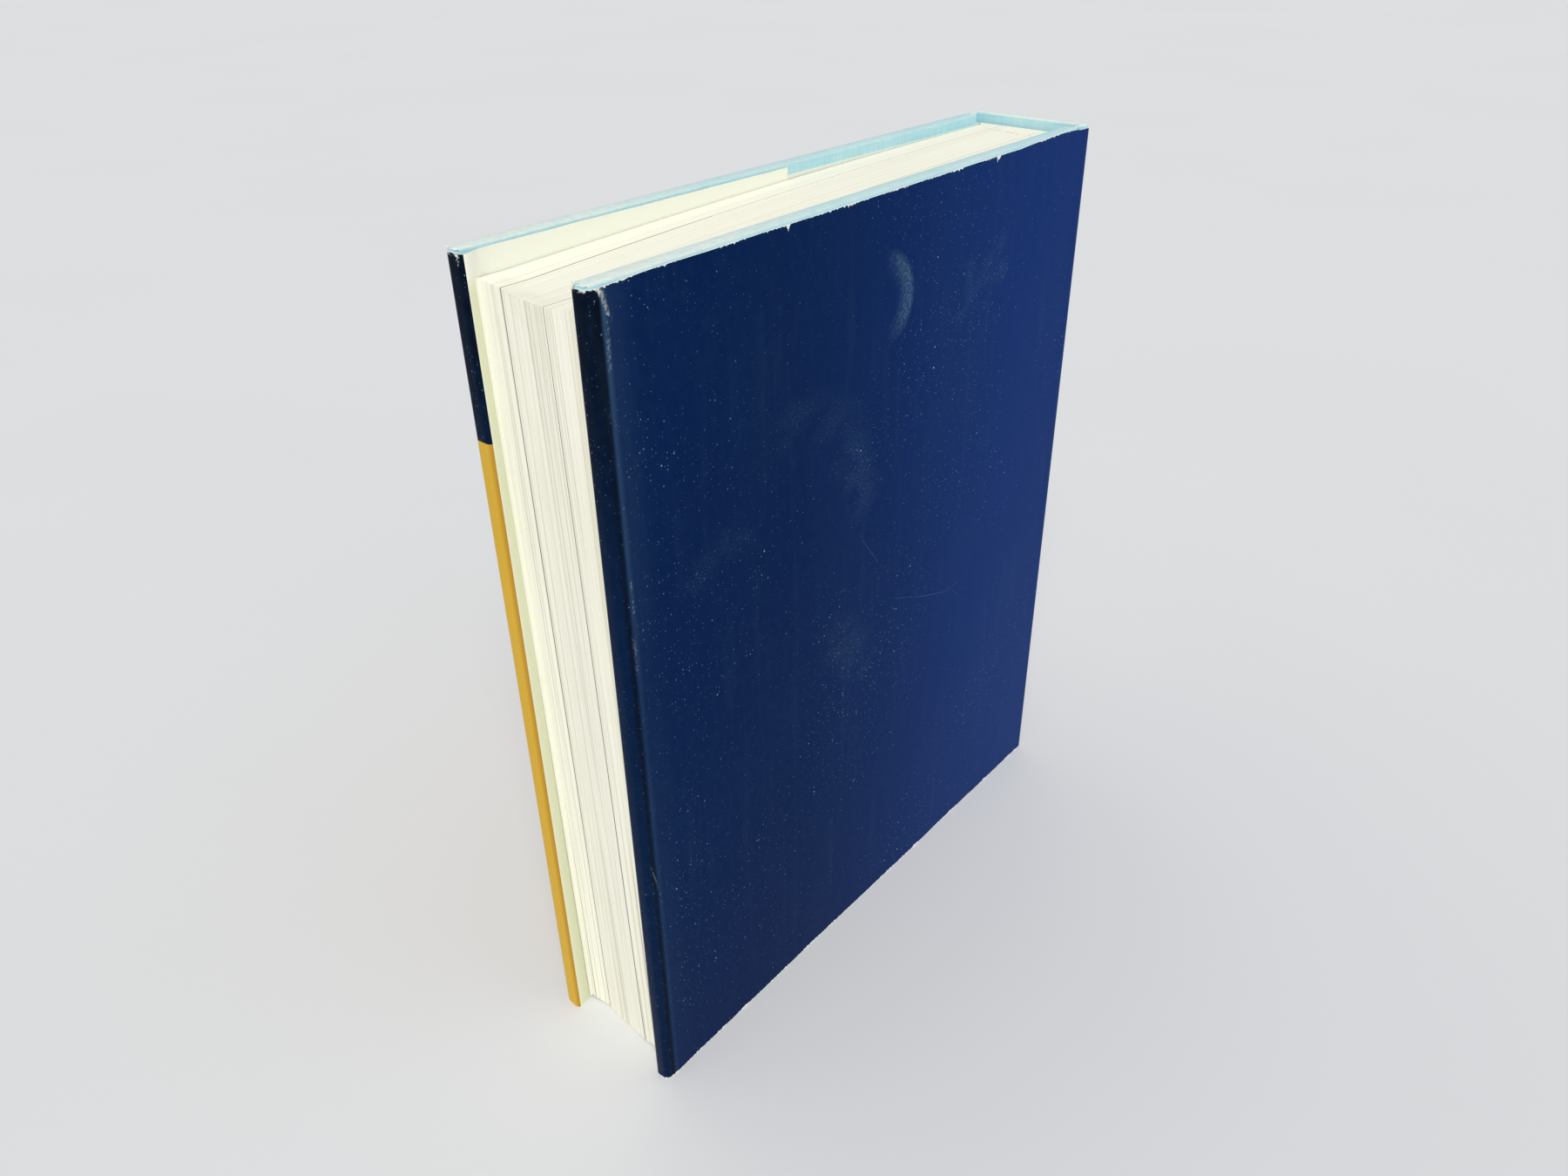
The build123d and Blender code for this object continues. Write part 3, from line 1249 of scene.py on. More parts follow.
    def rubs(self, gloss: SheetShader) -> Socket:
        """How far the ink is worn off down to the paper.

        Args:
            gloss: the material.

        Returns:
            The amount, from 0 to 1.
        """
        ragged, uneven = (gloss.noise(gloss.sheet, grain) for grain in (self.ragged, self.uneven))
        rough = gloss.plus(ragged, uneven)
        flaky = gloss.ramp(rough, *self.flaking)
        from_top = gloss.minus(self.top, gloss.height)
        past = gloss.minus(gloss.length, self.to_reach + plan.case_width)
        worn = []
        for edge, (level, deep) in ((from_top, self.top_bite), (gloss.height, self.foot_bite)):
            worn.append(gloss.math("LESS_THAN", edge, gloss.times(gloss.minus(rough, level), deep)))
        last = self.front_corner if self.side is Side.FRONT else self.back_corner
        for centre, spread, fall in (*self.corners, last):
            aside = gloss.times(gloss.apart(past, centre * MM), 1 / (spread * MM))
            far = gloss.plus(aside, gloss.times(from_top, 1 / (fall * MM)), 1.0)
            worn.append(gloss.times(gloss.ramp(gloss.minus(far, rough), *self.corner_edge), flaky))
        if self.side is Side.FRONT:
            return gloss.most(*worn)
        for reach, width, drop in self.nicks:
            aside = gloss.times(gloss.apart(gloss.length, reach * MM + self.to_reach), 2 / (width * MM))
            edge = gloss.scaled(ragged, *self.nick_edge)
            cut = gloss.plus(aside, gloss.times(from_top, 1 / (drop * MM)), edge)
            worn.append(gloss.math("LESS_THAN", cut, 1.0))
        return gloss.most(*worn, *self.marks(gloss, STREAKS, flaky))

    def specks(self, gloss: SheetShader, dust: Dust) -> Socket:
        """Dust and tiny nicks of ragged shape, thicker in some places.

        Args:
            gloss: the material.
            dust: their size and number.

        Returns:
            The amount of dust, from 0 to 1.
        """
        shake = {"Vector": gloss.sheet, "Scale": self.dust_shake.scale, "Detail": self.dust_shake.detail}
        shift = gloss.vector("SCALE", gloss.node("TexNoise", shake).outputs["Color"], self.dust_shake.amount)
        place = gloss.vector("ADD", gloss.sheet, shift)
        cells = gloss.node("TexVoronoi", {"Vector": place, "Scale": dust.scale}, voronoi_dimensions="2D")
        share, other, _ = gloss.split(cells.outputs["Color"])
        crowd = gloss.plus(gloss.patches(gloss.sheet, self.dust_crowds), share)
        reach = gloss.ramp(crowd, dust.rare, self.dust_full, dust.size)
        seen = gloss.ramp(gloss.minus(reach, cells.outputs["Distance"]), *self.dust_edge, dust.strength)
        return gloss.times(seen, gloss.scaled(other, *self.dust_faintness))

    def scuffs_and_crease_highlight(self, gloss: SheetShader, past: Socket) -> Socket:
        """Where the varnish is scuffed or smeared, with the painted highlight on the raised panel edge beside
        the crease.

        Args:
            gloss: the material.
            past: how far a place lies past the old crease.

        Returns:
            The amount, from 0 to 1.
        """
        # Painted highlight: a soft lighter band on the raised panel edge beside the crease, sharp at the
        # crease, fading inwards and stronger towards the top.
        band = gloss.most(gloss.ramp(past, *self.crease_highlight_near), gloss.ramp(past, *self.crease_highlight_wide))
        band = gloss.times(band, gloss.ramp(past, *self.crease_highlight_edge))
        high = gloss.scaled(gloss.ramp(gloss.height, *self.crease_highlight_height), *self.crease_highlight_amount)
        uneven = gloss.scaled(gloss.noise(gloss.sheet, self.crease_highlight_grain), *self.crease_highlight_unevenness)
        parts = [gloss.times(band, high, uneven), gloss.patches(gloss.sheet, self.drawn)]
        if self.side is Side.BACK:
            breaks = (gloss.patches(gloss.sheet, grain) for grain in (self.smear_grain, self.smear_breaks))
            parts += [self.arc(gloss), *self.marks(gloss, SMEARS, gloss.times(*breaks))]
            parts += self.marks(gloss, SCRATCHES)
        return gloss.most(*parts)

    def arc(self, gloss: SheetShader) -> Socket:
        """The granular rub in the shape of an arc near the head.

        Args:
            gloss: the material.

        Returns:
            The amount, from 0 to 1.
        """
        away = gloss.vector("DISTANCE", gloss.sheet, self.spot(self.arc_centre))
        off = gloss.minus(away, self.arc_radius)
        ring = [gloss.ramp(off, *edge) for edge in self.arc_edges]
        inner = gloss.ramp(gloss.minus(gloss.length, self.to_reach), *self.arc_reach)
        upper = gloss.scaled(gloss.ramp(gloss.height, *self.arc_height), *self.arc_fading)
        clotted = gloss.plus(gloss.patches(gloss.sheet, self.arc_clots), 1 - self.arc_clots.amount)
        return gloss.times(*ring, inner, upper, clotted, self.arc_amount)


@dataclass
class Jacket:
    """One half of the paper jacket, from the end of its flap round a cover to mid-spine.

    A wave is the size of its noise, its strength and the noise that moves nothing. The lifts of the
    top edge are in millimetres: by reach, rise and span.
    """

    side: Side
    thick: float = 0.3 * MM
    short: float = 0.8 * MM
    flap: float = 105 * MM
    flap_corner: float = 0.8 * MM
    fold_round: float = 1.6 * MM
    fold_slack: float = 0.9 * MM
    slack_reach: float = 5.6 * MM
    spine_round: float = 1.2 * MM
    crease: float = 199.6 * MM
    crease_lift: float = 0.22 * MM
    crease_span: float = 16 * MM
    column: float = 3 * MM
    rows: int = 40
    levels: tuple[float, ...] = (0.4, 1.2, 3.0, 6.0)
    panel_wave: Triple = (70 * MM, 0.7 * MM, 0.45)
    panel_depth: float = 1 * MM
    wave_rise: float = 30 * MM
    top_steepness: int = 3
    edge_wave: Triple = (9 * MM, 0.22 * MM, 0.5)
    lifts: tuple[Triple, ...] = ((21, 0.5, 24), (1, -0.35, 9), (201, -0.2, 10))
    lift_near: Point = (1.6 * MM, 0.5 * MM)

    @property
    def fold_depth(self) -> float:
        """How deep the flap leaves the fold: at the front it stands a little off its board."""
        return plan.cover_depth + (self.fold_slack if self.side is Side.FRONT else 0.0)

    @property
    def top(self) -> float:
        """The height of the top edge."""
        return plan.height - self.short

    def flat_sheet(self) -> Sheet:
        """The sheet from the end of its flap, round the fold, over the panel and into the spine.

        Returns:
            The sheet.
        """
        width, inside, deep = plan.case_width, plan.cover_depth, self.fold_depth
        r, tight = self.fold_round, self.spine_round
        legs = [
            Leg((width - self.slack_reach, inside), cuts=round(self.flap / self.column) - 2),
            Leg((width - r, deep), cuts=3),
            Leg((width, deep - r), (width - r, deep - r), 5),
            Leg((width, r), cuts=3),
            Leg((width - r, 0), (width - r, r), 5),
            Leg((self.crease, 0)),
            Leg((plan.board_reach, 0), cuts=round((self.crease - plan.board_reach) / self.column)),
            Leg((plan.spine_inside, 0), cuts=8),
            Leg((tight, 0)),
            Leg((0, tight), (tight, tight), 4),
            Leg((0, plan.half_spine), cuts=8),
        ]
        name = self.side.label + "_jacket"
        return Sheet(name, self.side, 0.0, self.top, (width - self.flap, inside), legs)

    def build(self) -> Piece:
        """Fold the sheet, cut it fine enough to bend, let it wave, and give it its thickness.

        Returns:
            The half jacket.
        """
        sheet = self.flat_sheet()
        jacket = sheet.fold()
        near_ends = [level * MM for level in self.levels]
        rows = [index * self.top / self.rows for index in range(2, self.rows - 1)]
        cut_levels(jacket, near_ends + rows + [self.top - level for level in near_ends])
        sheet.lay_flat(jacket)
        self.lift_crease(jacket)
        spread_cover(jacket, self.side, plan.hinge_reach)
        face_outwards(jacket, self.side)
        self.wave(jacket)
        for finish in (self.print_finish(sheet), self.paper_finish()):
            jacket.data.materials.append(finish.material)
        thicken(jacket, self.thick, use_even_offset=True, material_offset=1, material_offset_rim=1)
        return jacket

    def lift_crease(self, jacket: Piece) -> None:
        """Raise the old crease beside the fold a little, the panel rising towards it.

        Args:
            jacket: the folded mesh.
        """
        with editing(jacket), only(lambda vert: plan.reach_of(vert) < self.crease + TINY):
            select(
                Pick.VERTS,
                lambda vert: abs(plan.reach_of(vert) - self.crease) < TINY
                and abs(vert.co.y) > plan.half_spine - TINY,
            )
            drag((0, self.side.value * self.crease_lift, 0), Falloff.SHARP, self.crease_span)

    def wave(self, jacket: Piece) -> None:
        """Let the large panels wave a little away from the boards, and leave the top edge uneven.

        Args:
            jacket: the folded mesh.
        """
        loose = jacket.vertex_groups.new(name="panel_waves")
        edge = jacket.vertex_groups.new(name="edge_waves")
        for vert in jacket.data.vertices:
            reach, below = plan.reach_of(vert), self.top - vert.co.z
            if abs(vert.co.y) > plan.half_spine - self.panel_depth and reach > plan.board_reach:
                inward = min(reach - plan.board_reach, self.crease - reach, self.top_steepness * below)
                loose.add([vert.index], max(0.0, min(1.0, inward / self.wave_rise)), "REPLACE")
            if below < TINY:
                edge.add([vert.index], 1.0, "REPLACE")
        ripple(jacket, loose.name, *self.panel_wave)
        ripple(jacket, edge.name, *self.edge_wave, direction="Z")
        near, below = self.lift_near
        with editing(jacket):
            for reach, rise, span in self.lifts:
                x = plan.spine_x - reach * MM
                select(Pick.VERTS, lambda vert: vert.co.z > self.top - below and abs(vert.co.x - x) < near)
                drag((0, 0, rise * MM), Falloff.SMOOTH, span * MM)

    def print_finish(self, sheet: Sheet) -> Shader:
        """The printed face, with the cream of the flap from the inner corner of the fold.

        Args:
            sheet: the folded sheet, on which the places of the print are measured.

        Returns:
            The material.
        """
        corner = sheet.spot((plan.case_width - self.flap_corner, self.fold_depth))
        mid_panel = plan.case_width / 2
        to_reach = sheet.measure(sheet.spot((mid_panel, 0)))[0] - mid_panel
        return JacketPrint(self.side, self.top, sheet.measure(corner)[0], to_reach, self.crease).make()

    def paper_finish(self) -> Shader:
        """The bare inside and cut edge of the sheet."""
        name = "jacket_inside_" + self.side.label
        return PlainPaper(name, (0.86, 0.87, 0.80, 1), (0.80, 0.80, 0.72, 1)).make()

    def dress(self, jacket: Piece) -> None:
        """Hide the frame's jacket parts and put the jacket's place into its mesh.

        Args:
            jacket: the finished piece.
        """
        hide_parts("jacket_" + self.side.label, "jacket_spine")
        bend_across_joint(jacket)


@dataclass
class CaseCloth:
    """One half of the cloth over the case: round a board, through the joint, to mid-spine.

    The outside is one sheet from the turn-in at the fore-edge to the spine. The turn-ins at head and
    tail are strips drawn along its inside, and the folded edge between the two closes them.
    """

    side: Side
    thick: float = 0.38 * MM
    turn_in: float = 15 * MM
    board_round: float = 1.3 * MM
    spine_round: float = 0.9 * MM
    spine_clear: float = 0.1 * MM
    groove: float = 1.2 * MM
    doubled: float = 0.8 * MM
    edge_round: float = 0.35 * MM
    edge_turn: float = 0.5
    columns: int = 60
    end_strip: float = 0.6 * MM
    foot_strips: Point = (0.2 * MM, 1.2 * MM)

    @property
    def window(self) -> float:
        """The reach at which the fore-edge turn-in ends."""
        return plan.case_width - plan.board_depth - self.turn_in

    def joint_centre(self, deeper: float) -> Point:
        """The centre of the round groove, for a layer that lies deeper by some amount.

        Args:
            deeper: the amount.

        Returns:
            Its reach and depth.
        """
        half = (plan.board_reach - plan.spine_inside) / 2
        radius = (half**2 + self.groove**2) / (2 * self.groove)
        return plan.hinge_reach, plan.cloth_depth + self.groove - radius + deeper

    def outer(self) -> Sheet:
        """The sheet over the outside, with the fore-edge turn-in at its free end.

        Returns:
            The sheet.
        """
        far, near, depth = plan.case_width - plan.cloth_depth, plan.board_reach, plan.cloth_depth
        r, tight, inside = self.board_round, self.spine_round, plan.paste_depth
        legs = [
            Leg((far - r, inside), cuts=5),
            Leg((far, inside - r), (far - r, inside - r), 4),
            Leg((far, depth + r)),
            Leg((far - r, depth), (far - r, depth + r), 4),
            Leg((self.window, depth), cuts=5),
            Leg((near + self.end_strip, depth), cuts=self.columns),
            Leg((near, depth)),
            Leg((plan.spine_inside, depth), self.joint_centre(0), 8),
            Leg((depth + tight, depth)),
            Leg((depth, depth + tight), (depth + tight, depth + tight), 4),
            Leg((depth, plan.half_spine), cuts=6),
        ]
        name = self.side.label + "_case_cloth"
        return Sheet(name, self.side, 0.0, plan.height, (self.window, inside), legs)

    def turned(self, low: float) -> Sheet:
        """A turn-in at the head or the tail, along the inside of the board, joint and spine.

        Args:
            low: the height of its lower edge.

        Returns:
            The sheet.
        """
        near, inside = plan.board_reach, plan.spine_inside + plan.cloth_depth + self.spine_clear
        centre = self.joint_centre(self.doubled)
        start = plan.cloth_depth + self.doubled
        radius = math.hypot(near - centre[0], start - centre[1])
        foot = centre[1] + math.sqrt(radius**2 - (inside - centre[0]) ** 2)
        legs = [
            Leg((near, plan.paste_depth), cuts=self.columns),
            Leg((near, start)),
            Leg((inside, foot), centre, 8),
            Leg((inside, foot + self.foot_strips[0])),
            Leg((inside, foot + self.foot_strips[1]), cuts=4),
            Leg((inside, plan.half_spine), cuts=6),
        ]
        name = self.side.label + "_turn_in"
        return Sheet(name, self.side, low, low + self.turn_in, (self.window, plan.paste_depth), legs)

    def build(self) -> Piece:
        """Draw the sheets, fold the edges over between them, and give the cloth its thickness.

        Returns:
            The half cloth.
        """
        outer = self.outer()
        cloth = outer.fold()
        cut_levels(cloth, [self.turn_in, plan.height / 2, plan.height - self.turn_in])
        join(cloth, [self.turned(low).fold() for low in (0.0, plan.height - self.turn_in)])
        for level in (0.0, plan.height):
            self.close_edge(cloth, level)
        self.round_edges(cloth)
        face_outwards(cloth, self.side)
        outer.lay_flat(cloth)
        spread_cover(cloth, self.side, plan.hinge_reach)
        thicken(cloth, self.thick)
        return cloth

    def close_edge(self, cloth: Piece, level: float) -> None:
        """Fold the cloth over an edge of the case, from the outer sheet to its turn-in.

        Args:
            cloth: the joined sheets.
            level: the height of the edge.
        """
        end = plan.spine_x - plan.case_width + plan.cloth_depth
        with editing(cloth, Pick.EDGES):
            select(
                Pick.EDGES,
                lambda edge: all(abs(vert.co.z - level) < TINY for vert in edge.verts)
                and any(vert.co.x > end + TINY for vert in edge.verts),
            )
            bpy.ops.mesh.bridge_edge_loops()

    def round_edges(self, cloth: Piece) -> None:
        """Take the sharpness off both sides of the folded edges.

        Args:
            cloth: the joined sheets.
        """
        with editing(cloth, Pick.EDGES):
            recalculate()
            select(
                Pick.EDGES,
                lambda edge: len(edge.link_faces) == 2
                and abs(abs(edge.link_faces[0].normal.z) - abs(edge.link_faces[1].normal.z)) > self.edge_turn,
            )
            bpy.ops.mesh.bevel(offset=self.edge_round, segments=2, affect="EDGES")

    def dress(self, cloth: Piece, finish: Shader) -> None:
        """Give the cloth its weave, hide the frame's cloth parts and put the cloth's place into its mesh.

        Args:
            cloth: the finished piece.
            finish: its material.
        """
        finish.wear(cloth)
        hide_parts(self.side.label + "_cloth", "spine_cloth")
        bend_across_joint(cloth)


@dataclass
class Pages:
    """The sewn block of pages: folded sections at the spine, backed shoulders, drooping leaves.

    The shoulders are in millimetres by reach and half thickness, and what the leaves do at the
    fore-edge by Y: how far they droop, and the reach of their corners at tail and head.
    """

    tail: float = 4.8 * MM
    head: float = 237 * MM
    fold_reach: float = 3.75 * MM
    fold_end: float = 4.6 * MM
    fore_reach: float = 196.4 * MM
    half_back: float = 16.3 * MM
    half_front: float = 17.25 * MM
    sections: int = 14
    leaves: int = 7
    groups: int = 28
    stations: int = 23
    levels: int = 19
    fold_bulge: float = 0.45 * MM
    shoulder: tuple[Point, ...] = ((7.4, 14.4), (6.2, 14.65), (5.3, 15.25))
    gaps: tuple[float, ...] = (0.2806, 0.7908)
    gap_half: float = 0.12 * MM
    gap_depth: float = 1.4 * MM
    head_gap: Point = (60 * MM, 0.5 * MM)
    bend_span: float = 80 * MM
    fore_strip: float = 2 * MM
    head_strip: float = 1 * MM
    droop_strip: float = 6 * MM
    sharp_angle: float = 25
    droops: tuple[Point, ...] = ((-17.2, 3.5), (-9, 4.4), (-1, 4.65), (6, 4.7), (12, 4.5), (17.2, 3.8))
    tail_fronts: tuple[Point, ...] = (
        (-17.2, 197.4), (-12, 197.4), (-7, 197.6), (-1, 197.0), (6, 196.6), (10, 195.9), (13, 196.4),
        (17.2, 197.1),
    )
    head_fronts: tuple[Point, ...] = (
        (-17.2, 201.2), (-9, 202.0), (-1, 201.2), (6, 200.0), (10, 199.1), (17.2, 199.3),
    )

    @property
    def start(self) -> float:
        """The reach at which the leaves leave the shoulders."""
        return self.shoulder[0][0] * MM

    @property
    def half_start(self) -> float:
        """Half the thickness of the block there."""
        return self.shoulder[0][1] * MM

    @property
    def gap_lines(self) -> tuple[float, ...]:
        """The Y of the two gaps on the plain block, for its map."""
        return tuple(self.half_back * (2 * share - 1) for share in self.gaps)

    def build(self) -> Piece:
        """Cut a block into leaves and stations, then shape it from the spine outwards.

        Returns:
            The pages.
        """
        pages = self.block()
        self.cut_block(pages)
        self.lay_leaves(pages)
        self.shape_back(pages)
        self.open_gaps(pages)
        for index, members in enumerate(self.sort_leaves(pages)):
            with editing(pages), only(lambda vert: vert.index in members):
                self.pull(self.half_front * (2 * (index + 0.5) / self.groups - 1))
        smooth(pages, self.sharp_angle)
        return pages

    def block(self) -> Piece:
        """The plain block.

        Returns:
            The block, its size in its mesh.
        """
        bpy.ops.object.select_all(action="DESELECT")
        bpy.ops.mesh.primitive_cube_add(size=1)
        pages = bpy.context.object
        pages.name = pages.data.name = "pages"
        pages.scale = (self.fore_reach - self.fold_reach, 2 * self.half_back, self.head - self.tail)
        middle = plan.spine_x - (self.fore_reach + self.fold_reach) / 2
        pages.location = (middle, 0, (self.head + self.tail) / 2)
        return settle(pages)

    def cut_block(self, pages: Piece) -> None:
        """Cut the block along its leaves, along its length and along its height.

        Args:
            pages: the plain block.
        """
        cuts = {1: self.sections * self.leaves - 1, 0: self.stations, 2: self.levels}
        with editing(pages, Pick.EDGES):
            for axis, number in cuts.items():
                select(Pick.EDGES, lambda edge: runs_along(edge, axis))
                bpy.ops.mesh.subdivide(number_cuts=number)
            for reach, _ in self.shoulder:
                slice_at((plan.spine_x - reach * MM, 0, 0), (1, 0, 0))

    def lay_leaves(self, pages: Piece) -> None:
        """Give the block its own map: place across the leaves, and place along them.

        Args:
            pages: the plain block, cut.
        """
        layer = pages.data.uv_layers.new(name="leaves")
        for loop in pages.data.loops:
            place = pages.data.vertices[loop.vertex_index].co
            layer.data[loop.index].uv = (place.y, place.x + place.z)

    def shape_back(self, pages: Piece) -> None:
        """Round the sections' folds, draw in the block beyond the shoulders, and let it swell again.

        Args:
            pages: the plain block, cut.
        """
        with editing(pages):
            for ordinal in range(1, self.leaves // 2 + 1):
                share = ordinal / self.leaves
                pair = (ordinal, self.leaves - ordinal)
                select(Pick.VERTS, lambda vert: self.is_back(vert) and self.leaf_of(vert) in pair)
                out = self.fold_bulge * 4 * share * (1 - share)
                bpy.ops.transform.translate(value=(out, 0, 0))
            select(Pick.VERTS, lambda vert: plan.reach_of(vert) > self.start - TINY)
            self.widen(self.half_start)
            for reach, half in self.shoulder[1:]:
                select(Pick.VERTS, lambda vert: abs(plan.reach_of(vert) - reach * MM) < TINY)
                self.widen(half * MM)
            select(Pick.VERTS, lambda vert: plan.reach_of(vert) > self.fore_reach - TINY)
            bpy.ops.transform.resize(
                value=(1, self.half_front / self.half_start, 1),
                center_override=(0, 0, 0),
                use_proportional_edit=True,
                proportional_edit_falloff=Falloff.LINEAR.value,
                proportional_size=self.fore_reach - self.start,
            )

    def widen(self, half: float) -> None:
        """Bring the selected verts of the plain block to another half thickness."""
        bpy.ops.transform.resize(value=(1, half / self.half_back, 1), center_override=(0, 0, 0))

    def is_back(self, vert: bmesh.types.BMVert) -> bool:
        """Whether a vert is on the folds at the spine."""
        return plan.reach_of(vert) < self.fold_reach + TINY

    def leaf_of(self, vert: bmesh.types.BMVert) -> int:
        """The place of a vert on the spine within its section."""
        step = 2 * self.half_back / (self.sections * self.leaves)
        return round((vert.co.y + self.half_back) / step) % self.leaves

    def open_gaps(self, pages: Piece) -> None:
        """Open the two gaps between leaves that show at the fore-edge and run on over the head.

        Args:
            pages: the shaped block.
        """
        for share in self.gaps:
            y = self.half_front * (2 * share - 1)
            lean = y * (1 - self.half_start / self.half_front) / (self.fore_reach - self.start)
            normal = Vector((lean, 1, 0)).normalized()
            foot = Vector((plan.spine_x - self.fore_reach, y, 0))
            with editing(pages):
                for shift in (-self.gap_half, 0, self.gap_half):
                    slice_at(foot + normal * shift, normal)
                self.sink(foot, normal, TINY, 0.0, (self.gap_depth, 0, 0))
                reach, drop = self.head_gap
                self.sink(foot, normal, reach, self.head - TINY, (0, 0, -drop))

    def sink(self, foot: Vector, normal: Vector, reach: float, above: float, by: Triple) -> None:
        """Move the verts that lie in a gap's plane near the fore-edge.

        Args:
            foot: a point of the plane at the fore-edge.
            normal: its normal.
            reach: how far in from the fore-edge they lie.
            above: the height above which they lie.
            by: how far they move.
        """
        select(
            Pick.VERTS,
            lambda vert: abs((vert.co - foot).dot(normal)) < TINY / 4
            and vert.co.x < foot.x + reach
            and vert.co.z > above,
        )
        bpy.ops.transform.translate(value=by)

    def sort_leaves(self, pages: Piece) -> list[set[int]]:
        """Divide the verts of the block into groups of leaves that hang together.

        Args:
            pages: the block.

        Returns:
            The vert numbers of each group, from the back of the book to the front.
        """
        groups: list[set[int]] = [set() for _ in range(self.groups)]
        for vert in pages.data.vertices:
            share = (self.fore_y(vert) / self.half_front + 1) / 2
            groups[max(0, min(self.groups - 1, int(share * self.groups)))].add(vert.index)
        return groups

    def fore_y(self, vert: bpy.types.MeshVertex) -> float:
        """Where the leaf that a vert is on comes out at the fore-edge."""
        return vert.co.y * self.half_front / self.half_at(plan.reach_of(vert))

    def half_at(self, reach: float) -> float:
        """Half the thickness of the block at a reach.

        Args:
            reach: the reach.

        Returns:
            Half the thickness there.
        """
        start, foot = self.start, self.half_start
        if reach >= start:
            return foot + (self.half_front - foot) * (reach - start) / (self.fore_reach - start)
        known = [(self.fold_reach, self.half_back), (self.fold_end, self.half_back)]
        known += [(station * MM, half * MM) for station, half in reversed(self.shoulder)]
        return between(known, reach)

    def pull(self, y: float) -> None:
        """Pull the shown leaves down and out at the fore-edge by what is known of them there.

        Args:
            y: where they come out at the fore-edge.
        """
        tail_out = between(self.tail_fronts, y / MM) * MM - self.fore_reach
        head_out = between(self.head_fronts, y / MM) * MM - self.fore_reach - tail_out
        droop = between(self.droops, y / MM) * MM
        top = self.head - self.head_strip
        for near, above, by, falloff, span in (
            (self.fore_strip, 0.0, (-tail_out, 0, 0), Falloff.LINEAR, self.bend_span),
            (self.fore_strip, top, (-head_out, 0, 0), Falloff.LINEAR, self.head - self.tail),
            (self.droop_strip, 0.0, (0, 0, -droop), Falloff.SHARP, self.fore_reach - self.fold_reach),
        ):
            end = plan.spine_x - self.fore_reach + near
            select(Pick.VERTS, lambda vert: vert.co.x < end and vert.co.z > above)
            drag(by, falloff, span)

    def dress(self, pages: Piece, finish: Shader) -> None:
        """Give the pages their cut edges.

        Args:
            pages: the finished piece.
            finish: their material.
        """
        finish.wear(pages)
        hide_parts("text_block")
        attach(pages, "book_body")


